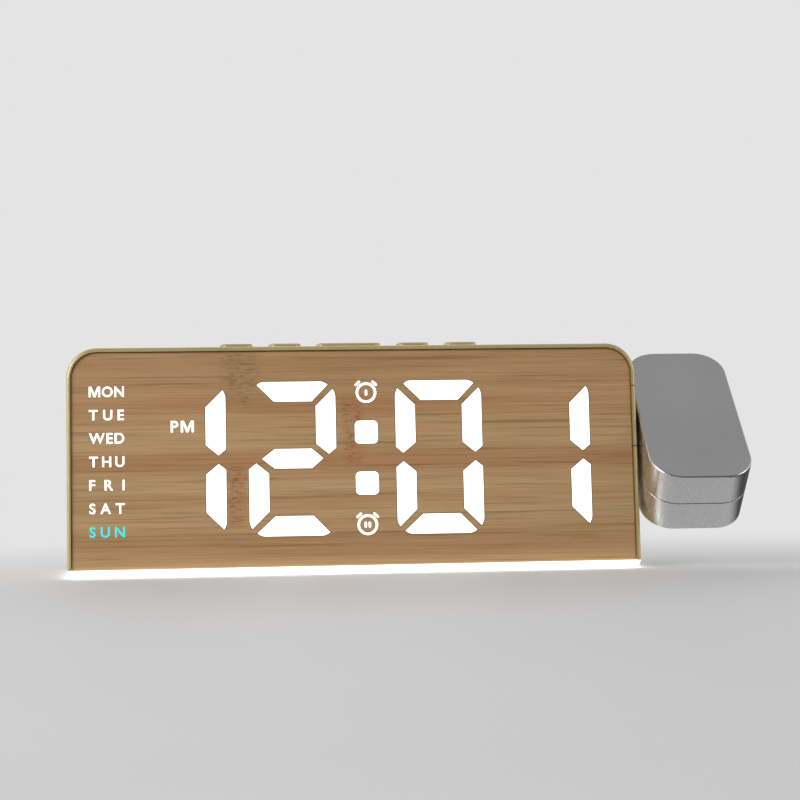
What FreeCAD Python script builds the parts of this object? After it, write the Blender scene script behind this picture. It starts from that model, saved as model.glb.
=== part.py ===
import FreeCAD, Part

import math
import os

from FreeCAD import Vector

# Projection alarm clock: a leaning four-digit clock body with a swinging projector arm.
# X runs along the body, Y away from the viewer, Z up. The origin is the centre of the foot.
# All sizes are millimetres and degrees.

# Overall body
BODY_W = 190.0
BODY_D = 42.0
BODY_H = 75.3
FRONT_LEAN = 6.0
REAR_LEAN = 6.0
CORNER_R = 10.0
WALL = 2.0
FRONT_EDGE_R = 0.9
REAR_EDGE_R = 1.4

# Light base and the mat under it
MAT_PROUD = 0.5
MAT_T = 1.5
MAT_L = 150.0
MAT_D = 26.0
BASE_TOP = 2.5
BASE_TAPER = 0.8
BASE_LIP_H = 2.5
BASE_LIP_T = 1.2

# Night-light strip above the base
NIGHT_BOARD_L = 160.0
NIGHT_BOARD_W = 8.0
NIGHT_BOARD_T = 1.2
NIGHT_BOARD_GAP = 4.5
NIGHT_BOARD_END = 5.0
NIGHT_LEDS = 8

# Front panel and the window pockets behind its skin
RIM_W = 1.3
PANEL_RECESS = 0.8
PANEL_T = 2.0
PANEL_SKIN = 0.4
PANEL_EDGE = 0.4
LEDGE_T = 1.5
LEDGE_W = 2.2

# Seven-segment digits, measured on the panel
DIGIT_RIGHTS = (-42.83, -6.36, 42.59, 79.06)
DIGIT_W = 29.25
DIGIT_H = 51.5
DIGIT_FOOT = 12.5
DIGIT_MID = 25.8
STROKE_H = 7.1
STROKE_V = 6.8
SEGMENT_TIP = 2.55
SEGMENT_INNER = 8.2
MID_OUTER = 1.25
MID_INNER = 4.8
BAR_TIP = 4.3
SHOWN_DIGITS = ("bc", "abged", "abcdef", "bc")
COLON_X = 3.65
COLON_S = (46.8, 29.8)
COLON_SIZE = 7.9
COLON_R = 1.5

# Small signs beside the digits: one light cell behind each
DAY_X = -82.0
DAY_FIRST_S = 14.98
DAY_PITCH = 7.7
DAY_CELL = (14.0, 5.6)
PM_CELL = (-57.2, 49.3, 10.0, 6.0)
ICON_X = 3.65
ICON_S = (60.3, 16.0)
ICON_CELL_R = 4.2

# Light box, display board and their lamps
LIGHT_BOX_D = 5.0
LIGHT_BOX_RIGHT = 84.0
BOARD_T = 1.6
LED_SIZE = (2.8, 1.6, 0.8)
DISPLAY_SCREW_L = 3.0

# Buttons in the top: centre and length of each, left to right
BUTTONS = (
    ("set_button", -38.8, 11.0),
    ("up_button", -22.5, 11.0),
    ("snooze_button", -0.8, 21.8),
    ("down_button", 21.1, 11.0),
    ("projector_button", 37.5, 11.0),
)
BUTTON_W = 5.5
BUTTON_Y = 1.5
BUTTON_PROUD = 1.3
BUTTON_TRAVEL = 0.8
BUTTON_CROWN = 0.4
BUTTON_FLANGE_W = 0.8
BUTTON_FLANGE_T = 1.0
BUTTON_STEM_R = 1.5
BUTTON_STEM_L = 1.9
SWITCH_W = 6.0
SWITCH_H = 3.5
BUTTON_BOARD_W = 9.0
BUTTON_BOARD_T = 1.2

# Rear cover and what it carries
COVER_RECESS = 0.5
COVER_T = 2.5
COVER_SCREW_X = 89.6
COVER_SCREW_S = (7.6, 68.4)
COVER_POST_L = 6.0
SPEAKER_X = -55.0
SPEAKER_S = 38.0
SPEAKER_R = 14.0
SPEAKER_H = 5.5
SPEAKER_RIM = 1.5
BASKET_R = 10.0
POLE_R = 6.0
MAGNET_R = 8.0
MAGNET_T = 2.4
CONE_R = 11.8
CONE_CAP_R = 3.5
CONE_DEPTH = 2.0
CONE_T = 0.4
GRILLE_R = 11.0
GRILLE_SLOT = 1.4
GRILLE_PITCH = 2.9
CELL_X = -2.0
CELL_S = 44.0
COIN_R = 10.0
COIN_T = 3.2
COIN_GAP = 0.4
LEAF_T = 0.3
CUP_WALL = 1.4
DOOR_W = 35.0
DOOR_H = 25.0
DOOR_T = 1.5
DOOR_SCREW_OFFSET = 17.0
DOOR_EDGE = 13.5
DOOR_SCREW_L = 4.5
DOOR_SCREW_SEAT = 0.7
NOTCH_R = 3.0
NOTCH_DEPTH = 0.8
MAIN_BOARD_X = 48.0
MAIN_BOARD_S = 20.0
MAIN_BOARD_W = 46.0
MAIN_BOARD_H = 24.0
MAIN_BOARD_DEPTH = 11.0
USB_A_X = 58.0
USB_A = (14.4, 6.6, 0.6)
USB_C_X = 40.0
USB_C = (9.0, 3.3, 1.6)
USB_WALL_A = 0.5
USB_WALL_C = 0.35
USB_S = 18.0

# Hinge of the projector arm in the right wall
PIVOT_Y = 3.0
PIVOT_Z = 50.8
HINGE_H = 20.4
HINGE_REAR = 7.6
HINGE_INNER = 6.5
HINGE_EAR = 4.2
HINGE_EAR_REAR = -1.0
HINGE_SCREW_Y = -5.3
HINGE_EAR_T = 1.5
HINGE_FRONT = 9.6
SHAFT_R = 5.0
SHAFT_BORE_R = 3.0
BUSH_R = 6.5
BUSH_FLANGE_R = 7.2
WASHER_R = 6.8
WASHER_T = 1.1
RETAINER_T = 1.6
RETAINER_R = 7.4
STOP_R = 8.8
STOP_RIB_T = 1.6
STOP_RIB_R = (7.7, 9.2)
STOP_LUG_DEG = 20.0
CABLE_R = 2.2

# Projector arm: the pivot lies on its centre line, nearer to the lens end
ARM_GAP = 0.9
ARM_L = 62.8
ARM_W = 34.5
ARM_T = 24.2
ARM_CORNER_R = 10.3
ARM_EDGE_R = 0.8
ARM_WALL = 1.5
ARM_TILT = 42.1
ARM_TAIL = 43.8
ARM_SWING = (-42.1, 137.9)
SEAM = 0.2
SEAM_TONGUE = 0.7

# Optics along the arm, measured from its lens end
FOCUS_RING_R = 8.4
FOCUS_PROUD = 1.2
FOCUS_FLANGE_R = 9.2
FOCUS_FLANGE_PLAY = 0.6
FOCUS_FLANGE_T = 1.3
FOCUS_SLEEVE_L = 8.0
FOCUS_KNURLS = 18
LENS_CELL_R = 5.65
LENS_CELL_BORE_R = 4.95
LENS_CELL_L = 16.5
LENS_CELL_FRONT = 1.5
SLEEVE_WALL = 0.85
BARREL_WALL = 1.9
KEY_W = 2.0
KEY_L = 4.0
FOCUS_TRAVEL = 0.75
LENS_T = 3.9
HOLDER_W = 19.0
HOLDER_L = 11.0
HOLDER_T = 17.2
BARREL_L = 32.6
SLIDE_SIZE = (15.0, 1.1, 12.6)
CONDENSER_T = 4.0
LED_BOARD_T = 1.5
DRIVER_W = 24.0
DRIVER_L = 16.0
DRIVER_Y = -28.0
DRIVER_Z = -7.4

# Fasteners
SCREW_R = 1.0
SCREW_HEAD_R = 1.9
SCREW_HEAD_T = 1.3
SCREW_SIDES = 8
POST_R = 3.0
ARM_POST_R = 2.4
BOARD_POST_R = 1.9
BUTTON_POST_R = 1.5
HINGE_POST_R = 2.0
SMALL_SCREW_R = 0.8
SMALL_HEAD_R = 1.6

# Clearances
FIT = 0.15
SLIDE_FIT = 0.1
SHAFT_FIT = 0.05
SEAT = 0.3

# Depths behind the front plane, added up from the sizes above
PANEL_BACK = PANEL_RECESS + PANEL_T
LEDGE_BACK = PANEL_BACK + LEDGE_T
LIGHT_BOX_BACK = PANEL_BACK + LIGHT_BOX_D
BOARD_BACK = LIGHT_BOX_BACK + BOARD_T
COVER_BACK = COVER_RECESS + COVER_T
FRONT_S = BODY_H / math.cos(math.radians(FRONT_LEAN))
BASE_S = BASE_TOP / math.cos(math.radians(FRONT_LEAN))
SIDE_X = BODY_W / 2
ARM_X0 = SIDE_X + ARM_GAP
ARM_X = ARM_X0 + ARM_W / 2
LENS_END = ARM_L - ARM_TAIL
BARREL_BORE_R = LENS_CELL_R + SLIDE_FIT + SLEEVE_WALL + SLIDE_FIT
BARREL_R = BARREL_BORE_R + BARREL_WALL
FOCUS_FLANGE_Y = LENS_END - ARM_WALL - FOCUS_FLANGE_PLAY
BARREL_FRONT = FOCUS_FLANGE_Y - FOCUS_FLANGE_T - SEAT
BARREL_REAR = BARREL_FRONT - BARREL_L
NIGHT_BOARD_Z = BASE_TOP + NIGHT_BOARD_GAP
TOP_UNDER = BODY_H - WALL
SWITCH_TOP = TOP_UNDER - SEAT / 2 - BUTTON_FLANGE_T - BUTTON_TRAVEL - 0.6
BUTTON_BOARD_TOP = SWITCH_TOP - SWITCH_H

X_AXIS = Vector(1, 0, 0)
Y_AXIS = Vector(0, 1, 0)
Z_AXIS = Vector(0, 0, 1)
ORIGIN = Vector(0, 0, 0)
FAR = 300.0


def box(x0, x1, y0, y1, z0, z1):
    return Part.makeBox(x1 - x0, y1 - y0, z1 - z0, Vector(x0, y0, z0))


def rod_x(radius, x0, x1, y=0.0, z=0.0):
    return Part.makeCylinder(radius, x1 - x0, Vector(x0, y, z), X_AXIS)


def rod_y(radius, y0, y1, x=0.0, z=0.0):
    return Part.makeCylinder(radius, y1 - y0, Vector(x, y0, z), Y_AXIS)


def rod_z(radius, z0, z1, x=0.0, y=0.0):
    return Part.makeCylinder(radius, z1 - z0, Vector(x, y, z0), Z_AXIS)


def fused(shapes):
    first, *others = shapes
    return first.fuse(others).removeSplitter() if others else first


def prism(points, direction):
    wire = Part.makePolygon([Vector(*p) for p in points] + [Vector(*points[0])])
    return Part.Face(wire).extrude(direction)


def turned(profile):
    """A solid of revolution about Y from (radius, y) points."""
    points = [Vector(radius, y, 0) for radius, y in profile]
    return Part.Face(Part.makePolygon(points + points[:1])).revolve(ORIGIN, Y_AXIS, 360)


def upright(across, up):
    return Vector(across, 0, up)


def rounded_outline(points, radius, place=upright):
    """A closed wire with every corner rounded, in the XZ plane unless placed elsewhere."""
    spots = [place(*point) for point in points]
    corners = []
    for i, corner in enumerate(spots):
        back = spots[i - 1] - corner
        ahead = spots[(i + 1) % len(spots)] - corner
        half = back.getAngle(ahead) / 2
        reach = radius / math.tan(half)
        back.normalize()
        ahead.normalize()
        middle = (back + ahead).normalize()
        top = corner + middle * (radius / math.sin(half) - radius)
        corners.append((corner + back * reach, top, corner + ahead * reach))
    edges = []
    for i, (start, top, end) in enumerate(corners):
        edges.append(Part.Arc(start, top, end).toShape())
        edges.append(Part.makeLine(end, corners[(i + 1) % len(corners)][0]))
    return Part.Wire(edges)


def rounded_bar(points, radius, y0, y1):
    face = Part.Face(rounded_outline(points, radius))
    bar = face.extrude(Vector(0, y1 - y0, 0))
    bar.translate(Vector(0, y0, 0))
    return bar


def rectangle(x, z, width, height):
    return [
        (x - width / 2, z - height / 2),
        (x + width / 2, z - height / 2),
        (x + width / 2, z + height / 2),
        (x - width / 2, z + height / 2),
    ]


def stadium(x, y, length, width, z0, z1):
    half = (length - width) / 2
    return fused([
        box(x - half, x + half, y - width / 2, y + width / 2, z0, z1),
        rod_z(width / 2, z0, z1, x - half, y),
        rod_z(width / 2, z0, z1, x + half, y),
    ])


def arch(inset, foot, top, y0, y1):
    """The body's front outline, square at the foot and round at the top, run along Y."""
    half = SIDE_X - inset
    height = top - inset
    radius = CORNER_R - inset
    cut = radius * (1 - math.sqrt(0.5))
    points = [
        Vector(-half, y0, foot),
        Vector(-half, y0, height - radius),
        Vector(-half + radius, y0, height),
        Vector(half - radius, y0, height),
        Vector(half, y0, height - radius),
        Vector(half, y0, foot),
    ]
    left_mid = Vector(-half + cut, y0, height - cut)
    right_mid = Vector(half - cut, y0, height - cut)
    edges = [
        Part.makeLine(points[0], points[1]),
        Part.Arc(points[1], left_mid, points[2]).toShape(),
        Part.makeLine(points[2], points[3]),
        Part.Arc(points[3], right_mid, points[4]).toShape(),
        Part.makeLine(points[4], points[5]),
        Part.makeLine(points[5], points[0]),
    ]
    return Part.Face(Part.Wire(edges)).extrude(Vector(0, y1 - y0, 0))


def wedge(front, rear, z0, z1, half=FAR):
    """The body's leaning side profile with its faces set in, run along X."""
    front_lean = math.radians(FRONT_LEAN)
    rear_lean = math.radians(REAR_LEAN)
    points = []
    for z in (z0, z1):
        points.append((-half, -BODY_D / 2 + z * math.tan(front_lean) + front / math.cos(front_lean), z))
    for z in (z1, z0):
        points.append((-half, BODY_D / 2 - z * math.tan(rear_lean) - rear / math.cos(rear_lean), z))
    return prism(points, Vector(2 * half, 0, 0))


def body_form(inset, front, rear, z0=BASE_TOP, z1=BODY_H + 10):
    return arch(inset, z0, BODY_H, -FAR, FAR).common(wedge(front, rear, z0, z1))


def on_front(shape):
    """Places a shape built upright, with Y as depth, against the leaning front plane."""
    placed = shape.copy()
    placed.rotate(ORIGIN, X_AXIS, -FRONT_LEAN)
    placed.translate(Vector(0, -BODY_D / 2, 0))
    return placed


def on_rear(shape):
    """Places a shape built upright, with the rear face at Y = 0, against the rear plane."""
    placed = shape.copy()
    placed.rotate(ORIGIN, X_AXIS, REAR_LEAN)
    placed.translate(Vector(0, BODY_D / 2, 0))
    return placed


def on_arm(shape):
    """Places a shape built about the pivot, with the lens towards +Y, on the tilted arm."""
    placed = shape.copy()
    placed.rotate(ORIGIN, X_AXIS, ARM_TILT)
    placed.translate(Vector(ARM_X, PIVOT_Y, PIVOT_Z))
    return placed


def edges_where(shape, test):
    return [edge for edge in shape.Edges if test(edge)]


def lies_on(edge, distance, tolerance=0.02):
    """Whether both ends and the middle of an edge are at no distance from a surface."""
    first, last = edge.FirstParameter, edge.LastParameter
    points = [edge.valueAt(at) for at in (first, (first + last) / 2, last)]
    return all(abs(distance(point)) < tolerance for point in points)


def faceted(radius, y0, y1, x=0.0, z=0.0, sides=SCREW_SIDES):
    """A small round piece along Y with few faces."""
    points = []
    for i in range(sides):
        angle = 2 * math.pi * (i + 0.5) / sides
        points.append((x + radius * math.cos(angle), y0, z + radius * math.sin(angle)))
    return prism(points, Vector(0, y1 - y0, 0))


def screw(length, head_r=SCREW_HEAD_R, shank_r=SCREW_R):
    """A pan-head screw along -Y, its head's underside at Y = 0."""
    return faceted(head_r, 0, SCREW_HEAD_T).fuse(faceted(shank_r, -length, 0)).removeSplitter()


def faceted_x(radius, x0, x1, y, z):
    """A small round piece or hole along X with few faces."""
    return moved(about_z(faceted(radius, -x1, -x0), 90), 0, y, z)


def faceted_z(radius, z0, z1, x, y):
    """A small round piece or hole along Z with few faces."""
    return moved(about_x(faceted(radius, z0, z1), 90), x, y, 0)


def moved(shape, x, y, z):
    placed = shape.copy()
    placed.translate(Vector(x, y, z))
    return placed


def about_x(shape, angle):
    placed = shape.copy()
    placed.rotate(ORIGIN, X_AXIS, angle)
    return placed


def about_z(shape, angle):
    placed = shape.copy()
    placed.rotate(ORIGIN, Z_AXIS, angle)
    return placed


def sleeve():
    """The whole moulded sleeve: outer skin, recess for the panel and the ledge behind it."""
    outer = body_form(0, 0, 0)
    front_edges = edges_where(outer, lambda edge: lies_on(edge, front_depth) and above_foot(edge))
    outer = outer.makeFillet(FRONT_EDGE_R, front_edges)
    rear_edges = edges_where(outer, lambda edge: lies_on(edge, rear_depth) and above_foot(edge))
    outer = outer.makeFillet(REAR_EDGE_R, rear_edges)
    recess = on_front(arch(RIM_W, -FAR, FRONT_S, -5, PANEL_BACK))
    window = on_front(arch(RIM_W + LEDGE_W, -FAR, FRONT_S, 0, LEDGE_BACK + 1))
    cavity = body_form(WALL, LEDGE_BACK, -5, z0=BASE_TOP - 5)
    return outer.cut([recess, window, cavity])


def front_depth(point):
    """Distance of a point behind the leaning front plane."""
    lean = math.radians(FRONT_LEAN)
    return (point.y + BODY_D / 2) * math.cos(lean) - point.z * math.sin(lean)


def rear_depth(point):
    """Distance of a point inside the leaning rear plane."""
    lean = math.radians(REAR_LEAN)
    return (BODY_D / 2 - point.y) * math.cos(lean) - point.z * math.sin(lean)


def above_foot(edge):
    return edge.valueAt((edge.FirstParameter + edge.LastParameter) / 2).z > BASE_TOP + 0.01


def hinge_gap_box(clearance):
    half = HINGE_H / 2 + clearance
    return box(SIDE_X - WALL - 2.5, SIDE_X + 1, -FAR, PIVOT_Y + HINGE_REAR + clearance,
               PIVOT_Z - half, PIVOT_Z + half)


def hinge_screw_heights():
    reach = HINGE_H / 2 + HINGE_EAR / 2
    return (PIVOT_Z - reach, PIVOT_Z + reach)


def housing():
    body = sleeve().cut(hinge_gap_box(SEAM / 2))
    inner_x = SIDE_X - WALL
    ear_x = SIDE_X - HINGE_INNER + HINGE_EAR_T
    added = []
    holes = []
    for z in hinge_screw_heights():
        added.append(faceted_x(HINGE_POST_R, ear_x, inner_x + 0.5, PIVOT_Y + HINGE_SCREW_Y, z))
        holes.append(faceted_x(SCREW_R, ear_x - 1, inner_x + 0.5, PIVOT_Y + HINGE_SCREW_Y, z))
    for x, s in cover_screw_places():
        post = faceted(POST_R, -COVER_BACK - COVER_POST_L, -COVER_BACK, x, s)
        edge = math.copysign(inner_x + 0.1, x)
        web = box(min(x, edge), max(x, edge), -COVER_BACK - COVER_POST_L, -COVER_BACK, s - 1, s + 1)
        added.append(on_rear(post.fuse(web)).common(body_form(WALL / 2, 0, 0)))
        holes.append(on_rear(faceted(SCREW_R, -COVER_BACK - COVER_POST_L, 0, x, s)))
    for x in base_screw_places():
        edge = math.copysign(inner_x + 0.1, x)
        added.append(faceted_z(POST_R, BASE_TOP, BASE_TOP + 10, x, 0))
        added.append(box(min(x, edge), max(x, edge), -1, 1, BASE_TOP, BASE_TOP + 10))
        holes.append(faceted_z(SCREW_R, BASE_TOP - 1, BASE_TOP + 8, x, 0))
    for x in button_post_places():
        added.append(faceted_z(BUTTON_POST_R, BUTTON_BOARD_TOP, TOP_UNDER + 0.5, x, BUTTON_Y))
        holes.append(faceted_z(SMALL_SCREW_R, BUTTON_BOARD_TOP - 1, TOP_UNDER - 0.5, x, BUTTON_Y))
    for name, x, length in BUTTONS:
        holes.append(stadium(x, BUTTON_Y, length + 2 * FIT, BUTTON_W + 2 * FIT, TOP_UNDER - 1, BODY_H + 1))
    return fused([body] + added).cut(holes)


def cover_screw_places():
    return [(side * COVER_SCREW_X, s) for side in (-1, 1) for s in COVER_SCREW_S]


def base_screw_places():
    return (-COVER_SCREW_X, COVER_SCREW_X)


def button_post_places():
    """Half way between neighbouring buttons, either side of the wide one."""
    ends = [(x - length / 2, x + length / 2) for name, x, length in BUTTONS]
    return ((ends[0][1] + ends[1][0]) / 2, (ends[3][1] + ends[4][0]) / 2)


def hinge_block():
    """The separate moulding in the right wall that carries the arm's bush and its stop rib."""
    skin = sleeve().common(hinge_gap_box(-SEAM / 2))
    inner_x = SIDE_X - HINGE_INNER
    half = HINGE_H / 2 - SEAM / 2
    body = box(inner_x, SIDE_X - WALL + 0.05, PIVOT_Y - HINGE_FRONT, PIVOT_Y + HINGE_REAR,
               PIVOT_Z - half, PIVOT_Z + half)
    ears = box(inner_x, inner_x + HINGE_EAR_T, PIVOT_Y - HINGE_FRONT, PIVOT_Y + HINGE_EAR_REAR,
               PIVOT_Z - HINGE_H / 2 - HINGE_EAR, PIVOT_Z + HINGE_H / 2 + HINGE_EAR)
    rib_span = 360 - (ARM_SWING[1] - ARM_SWING[0]) - STOP_LUG_DEG - 4
    rib = ring_sector(STOP_RIB_R[0], STOP_RIB_R[1], inner_x - STOP_RIB_T, inner_x + 0.05, rib_span)
    rib = about_x(rib, stop_rib_middle())
    holes = [rod_x(BUSH_R, inner_x - 1, SIDE_X + 1, PIVOT_Y, PIVOT_Z)]
    for z in hinge_screw_heights():
        holes.append(faceted_x(SCREW_R, inner_x - 1, inner_x + HINGE_EAR_T + 1, PIVOT_Y + HINGE_SCREW_Y, z))
    return fused([skin, body, ears, moved(rib, 0, PIVOT_Y, PIVOT_Z)]).cut(holes)


def ring_sector(inner, outer, x0, x1, span):
    """Part of a ring about X, centred on +Z."""
    corners = [Vector(x0, 0, inner), Vector(x1, 0, inner), Vector(x1, 0, outer), Vector(x0, 0, outer)]
    face = Part.Face(Part.makePolygon(corners + corners[:1]))
    return about_x(face.revolve(ORIGIN, X_AXIS, span), -span / 2)


def stop_lug_middle():
    """Angle of the stop lug about X at rest, measured from +Z."""
    return 180.0


def stop_rib_middle():
    """The rib sits opposite the middle of the lug's travel."""
    return stop_lug_middle() + (ARM_SWING[0] + ARM_SWING[1]) / 2 + 180


def hinge_block_screws():
    shapes = []
    for z in hinge_screw_heights():
        placed = about_z(screw(HINGE_EAR_T + 2.0, SMALL_HEAD_R), 90)
        shapes.append(moved(placed, SIDE_X - HINGE_INNER, PIVOT_Y + HINGE_SCREW_Y, z))
    return Part.makeCompound(shapes)


def pivot_bush():
    inner_x = SIDE_X - HINGE_INNER
    flange = rod_x(BUSH_FLANGE_R, SIDE_X, SIDE_X + ARM_GAP - SEAT, PIVOT_Y, PIVOT_Z)
    tube = rod_x(BUSH_R, inner_x, SIDE_X + 0.05, PIVOT_Y, PIVOT_Z)
    return fused([flange, tube]).cut(rod_x(SHAFT_R + SHAFT_FIT, inner_x - 1, ARM_X0 + 1, PIVOT_Y, PIVOT_Z))


def friction_washer():
    face = SIDE_X - HINGE_INNER
    ring = rod_x(WASHER_R, face - WASHER_T, face, PIVOT_Y, PIVOT_Z)
    return ring.cut(rod_x(SHAFT_R + SHAFT_FIT, face - 3, face + 1, PIVOT_Y, PIVOT_Z))


def pivot_shaft():
    """Hollow shaft with a flange that the two halves of the arm clamp."""
    start = SIDE_X - HINGE_INNER - WASHER_T - SLIDE_FIT - RETAINER_T - 0.6
    inner_face = ARM_X0 + ARM_WALL
    tube = rod_x(SHAFT_R, start, inner_face + 0.05, PIVOT_Y, PIVOT_Z)
    flange = rod_x(SHAFT_R + 3.5, inner_face, inner_face + ARM_WALL, PIVOT_Y, PIVOT_Z)
    return fused([tube, flange]).cut(rod_x(SHAFT_BORE_R, start - 1, inner_face + 5, PIVOT_Y, PIVOT_Z))


def pivot_retainer():
    """Ring on the shaft's end, with the lug that meets the stop rib."""
    back = SIDE_X - HINGE_INNER - WASHER_T - SLIDE_FIT
    ring = rod_x(RETAINER_R, back - RETAINER_T, back)
    arm = ring_sector(RETAINER_R - 1, STOP_R, back - RETAINER_T, back, STOP_LUG_DEG)
    lug = ring_sector(STOP_RIB_R[0] + 0.1, STOP_R, back - 0.05, back + 0.9, STOP_LUG_DEG)
    body = fused([ring, arm, lug]).cut(rod_x(SHAFT_R, 0, FAR))
    return moved(about_x(body, stop_lug_middle()), 0, PIVOT_Y, PIVOT_Z)


def projector_cable():
    start = SIDE_X - HINGE_INNER - 18
    return rod_x(CABLE_R, start, ARM_X0 + 2 * ARM_WALL + 2, PIVOT_Y, PIVOT_Z)


def bar(points, y0, y1):
    """An upright outline run along Y between two depths."""
    return prism([(x, y0, z) for x, z in points], Vector(0, y1 - y0, 0))


def front_panel():
    """Wood-faced panel: a shown segment is open, every other window is a pocket behind the skin."""
    plate = arch(RIM_W + FIT, BASE_S - 1, FRONT_S, PANEL_RECESS, PANEL_BACK)
    front_edges = edges_where(plate, lambda edge: lies_on(edge, lambda p: p.y - PANEL_RECESS))
    plate = plate.makeChamfer(PANEL_EDGE, front_edges)
    skin_back = PANEL_RECESS + PANEL_SKIN
    pockets = []
    for outline, shown in segment_outlines():
        pockets.append(bar(outline, PANEL_RECESS - 1 if shown else skin_back, PANEL_BACK + 1))
    for s in COLON_S:
        dot = rectangle(COLON_X, s, COLON_SIZE, COLON_SIZE)
        pockets.append(rounded_bar(dot, COLON_R, PANEL_RECESS - 1, PANEL_BACK + 1))
    for x, s, width, height in sign_cells():
        pockets.append(bar(rectangle(x, s, width, height), skin_back, PANEL_BACK + 1))
    return above_base(on_front(plate.cut(pockets)))


def above_base(shape):
    return shape.common(box(-FAR, FAR, -FAR, FAR, BASE_TOP, FAR))


def sign_cells():
    """Cells behind the weekday column, the PM sign and the two alarm signs."""
    cells = []
    for row in range(7):
        cells.append((DAY_X, DAY_FIRST_S + row * DAY_PITCH, DAY_CELL[0], DAY_CELL[1]))
    cells.append(PM_CELL)
    for s in ICON_S:
        cells.append((ICON_X, s, 2 * ICON_CELL_R, 2 * ICON_CELL_R))
    return cells


def segment_shapes():
    """The seven segments of one digit, from its lower left corner."""
    w, h, m = DIGIT_W, DIGIT_H, DIGIT_MID
    inner, stroke = SEGMENT_INNER, w - STROKE_V
    top_bar = [(SEGMENT_TIP, h), (inner, h - STROKE_H), (w - inner, h - STROKE_H), (w - SEGMENT_TIP, h)]
    upper_right = [(w, h - SEGMENT_TIP), (stroke, h - inner), (stroke, m + MID_INNER), (w, m + MID_OUTER)]
    lower_right = [(w, m - MID_OUTER), (stroke, m - MID_INNER), (stroke, inner), (w, SEGMENT_TIP)]
    low_bar = [(SEGMENT_TIP, 0), (w - SEGMENT_TIP, 0), (w - inner, STROKE_H), (inner, STROKE_H)]
    half = STROKE_H / 2
    middle = [(BAR_TIP, m), (inner, m - half), (w - inner, m - half),
              (w - BAR_TIP, m), (w - inner, m + half), (inner, m + half)]
    lower_left = [(w - x, z) for x, z in reversed(lower_right)]
    upper_left = [(w - x, z) for x, z in reversed(upper_right)]
    return {"a": top_bar, "b": upper_right, "c": lower_right, "d": low_bar,
            "e": lower_left, "f": upper_left, "g": middle}


def segment_outlines():
    outlines = []
    for right, shown in zip(DIGIT_RIGHTS, SHOWN_DIGITS):
        for letter, points in segment_shapes().items():
            placed = [(right - DIGIT_W + x, DIGIT_FOOT + z) for x, z in points]
            outlines.append((placed, letter in shown))
    return outlines


def lit_segments():
    """The glowing windows of the shown time, flush with the panel."""
    bars = []
    for outline, shown in segment_outlines():
        if shown:
            bars.append(on_front(bar(outline, PANEL_RECESS, PANEL_BACK)))
    for s in COLON_S:
        dot = rectangle(COLON_X, s, COLON_SIZE, COLON_SIZE)
        bars.append(on_front(rounded_bar(dot, COLON_R, PANEL_RECESS, PANEL_BACK)))
    return Part.makeCompound(bars)


def light_box_outline(y0, y1):
    margin = RIM_W + LEDGE_W + SEAT
    plate = arch(margin, BASE_S + 4, FRONT_S, y0, y1)
    return plate.common(box(-FAR, LIGHT_BOX_RIGHT, -FAR, FAR, -FAR, FAR))


def display_reflector():
    """Light box with one cell behind every segment and sign."""
    plate = light_box_outline(PANEL_BACK, LIGHT_BOX_BACK)
    outlines = [outline for outline, shown in segment_outlines()]
    outlines += [rectangle(COLON_X, s, COLON_SIZE, COLON_SIZE) for s in COLON_S]
    outlines += [rectangle(x, s, width, height) for x, s, width, height in sign_cells()]
    cells = [bar(outline, PANEL_BACK - 1, LIGHT_BOX_BACK + 1) for outline in outlines]
    start, end = LIGHT_BOX_BACK - DISPLAY_SCREW_L, LIGHT_BOX_BACK + 1
    holes = [faceted(SCREW_R, start - 1, end, x, s) for x, s in display_screw_places()]
    return on_front(plate.cut(cells + holes))


def display_screw_places():
    middle_gap = (DIGIT_RIGHTS[0] + DIGIT_RIGHTS[1] - DIGIT_W) / 2
    right_gap = (DIGIT_RIGHTS[2] + DIGIT_RIGHTS[3] - DIGIT_W) / 2
    low = DIGIT_FOOT + 2
    high = DIGIT_FOOT + DIGIT_H - 2
    return [(x, s) for x in (middle_gap, right_gap) for s in (low, high)]


def display_board():
    board = light_box_outline(LIGHT_BOX_BACK, BOARD_BACK)
    holes = [faceted(SCREW_R, 0, FAR, x, s) for x, s in display_screw_places()]
    return on_front(board.cut(holes))


def segment_leds():
    """One lamp at the middle of each cell, on the face of the display board."""
    places = [middle_of(outline) for outline, shown in segment_outlines()]
    places += [(COLON_X, s) for s in COLON_S]
    places += [(x, s) for x, s, width, height in sign_cells()]
    lamps = []
    for x, s in places:
        lamps.append(on_front(box(x - LED_SIZE[0] / 2, x + LED_SIZE[0] / 2,
                                  LIGHT_BOX_BACK - LED_SIZE[2], LIGHT_BOX_BACK,
                                  s - LED_SIZE[1] / 2, s + LED_SIZE[1] / 2)))
    return Part.makeCompound(lamps)


def middle_of(outline):
    return (sum(x for x, z in outline) / len(outline), sum(z for x, z in outline) / len(outline))


def display_screws():
    shapes = []
    for x, s in display_screw_places():
        shapes.append(on_front(moved(screw(BOARD_T + DISPLAY_SCREW_L), x, BOARD_BACK, s)))
    return Part.makeCompound(shapes)


def foot_outline(z, inset):
    """Wire round the foot of the body at one height."""
    front = -BODY_D / 2 + BASE_TOP * math.tan(math.radians(FRONT_LEAN)) + inset
    rear = BODY_D / 2 - BASE_TOP * math.tan(math.radians(REAR_LEAN)) - inset
    half = SIDE_X - inset
    corners = [(-half, front), (half, front), (half, rear), (-half, rear)]
    return rounded_outline(corners, FRONT_EDGE_R, lambda x, y: Vector(x, y, z))


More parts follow.
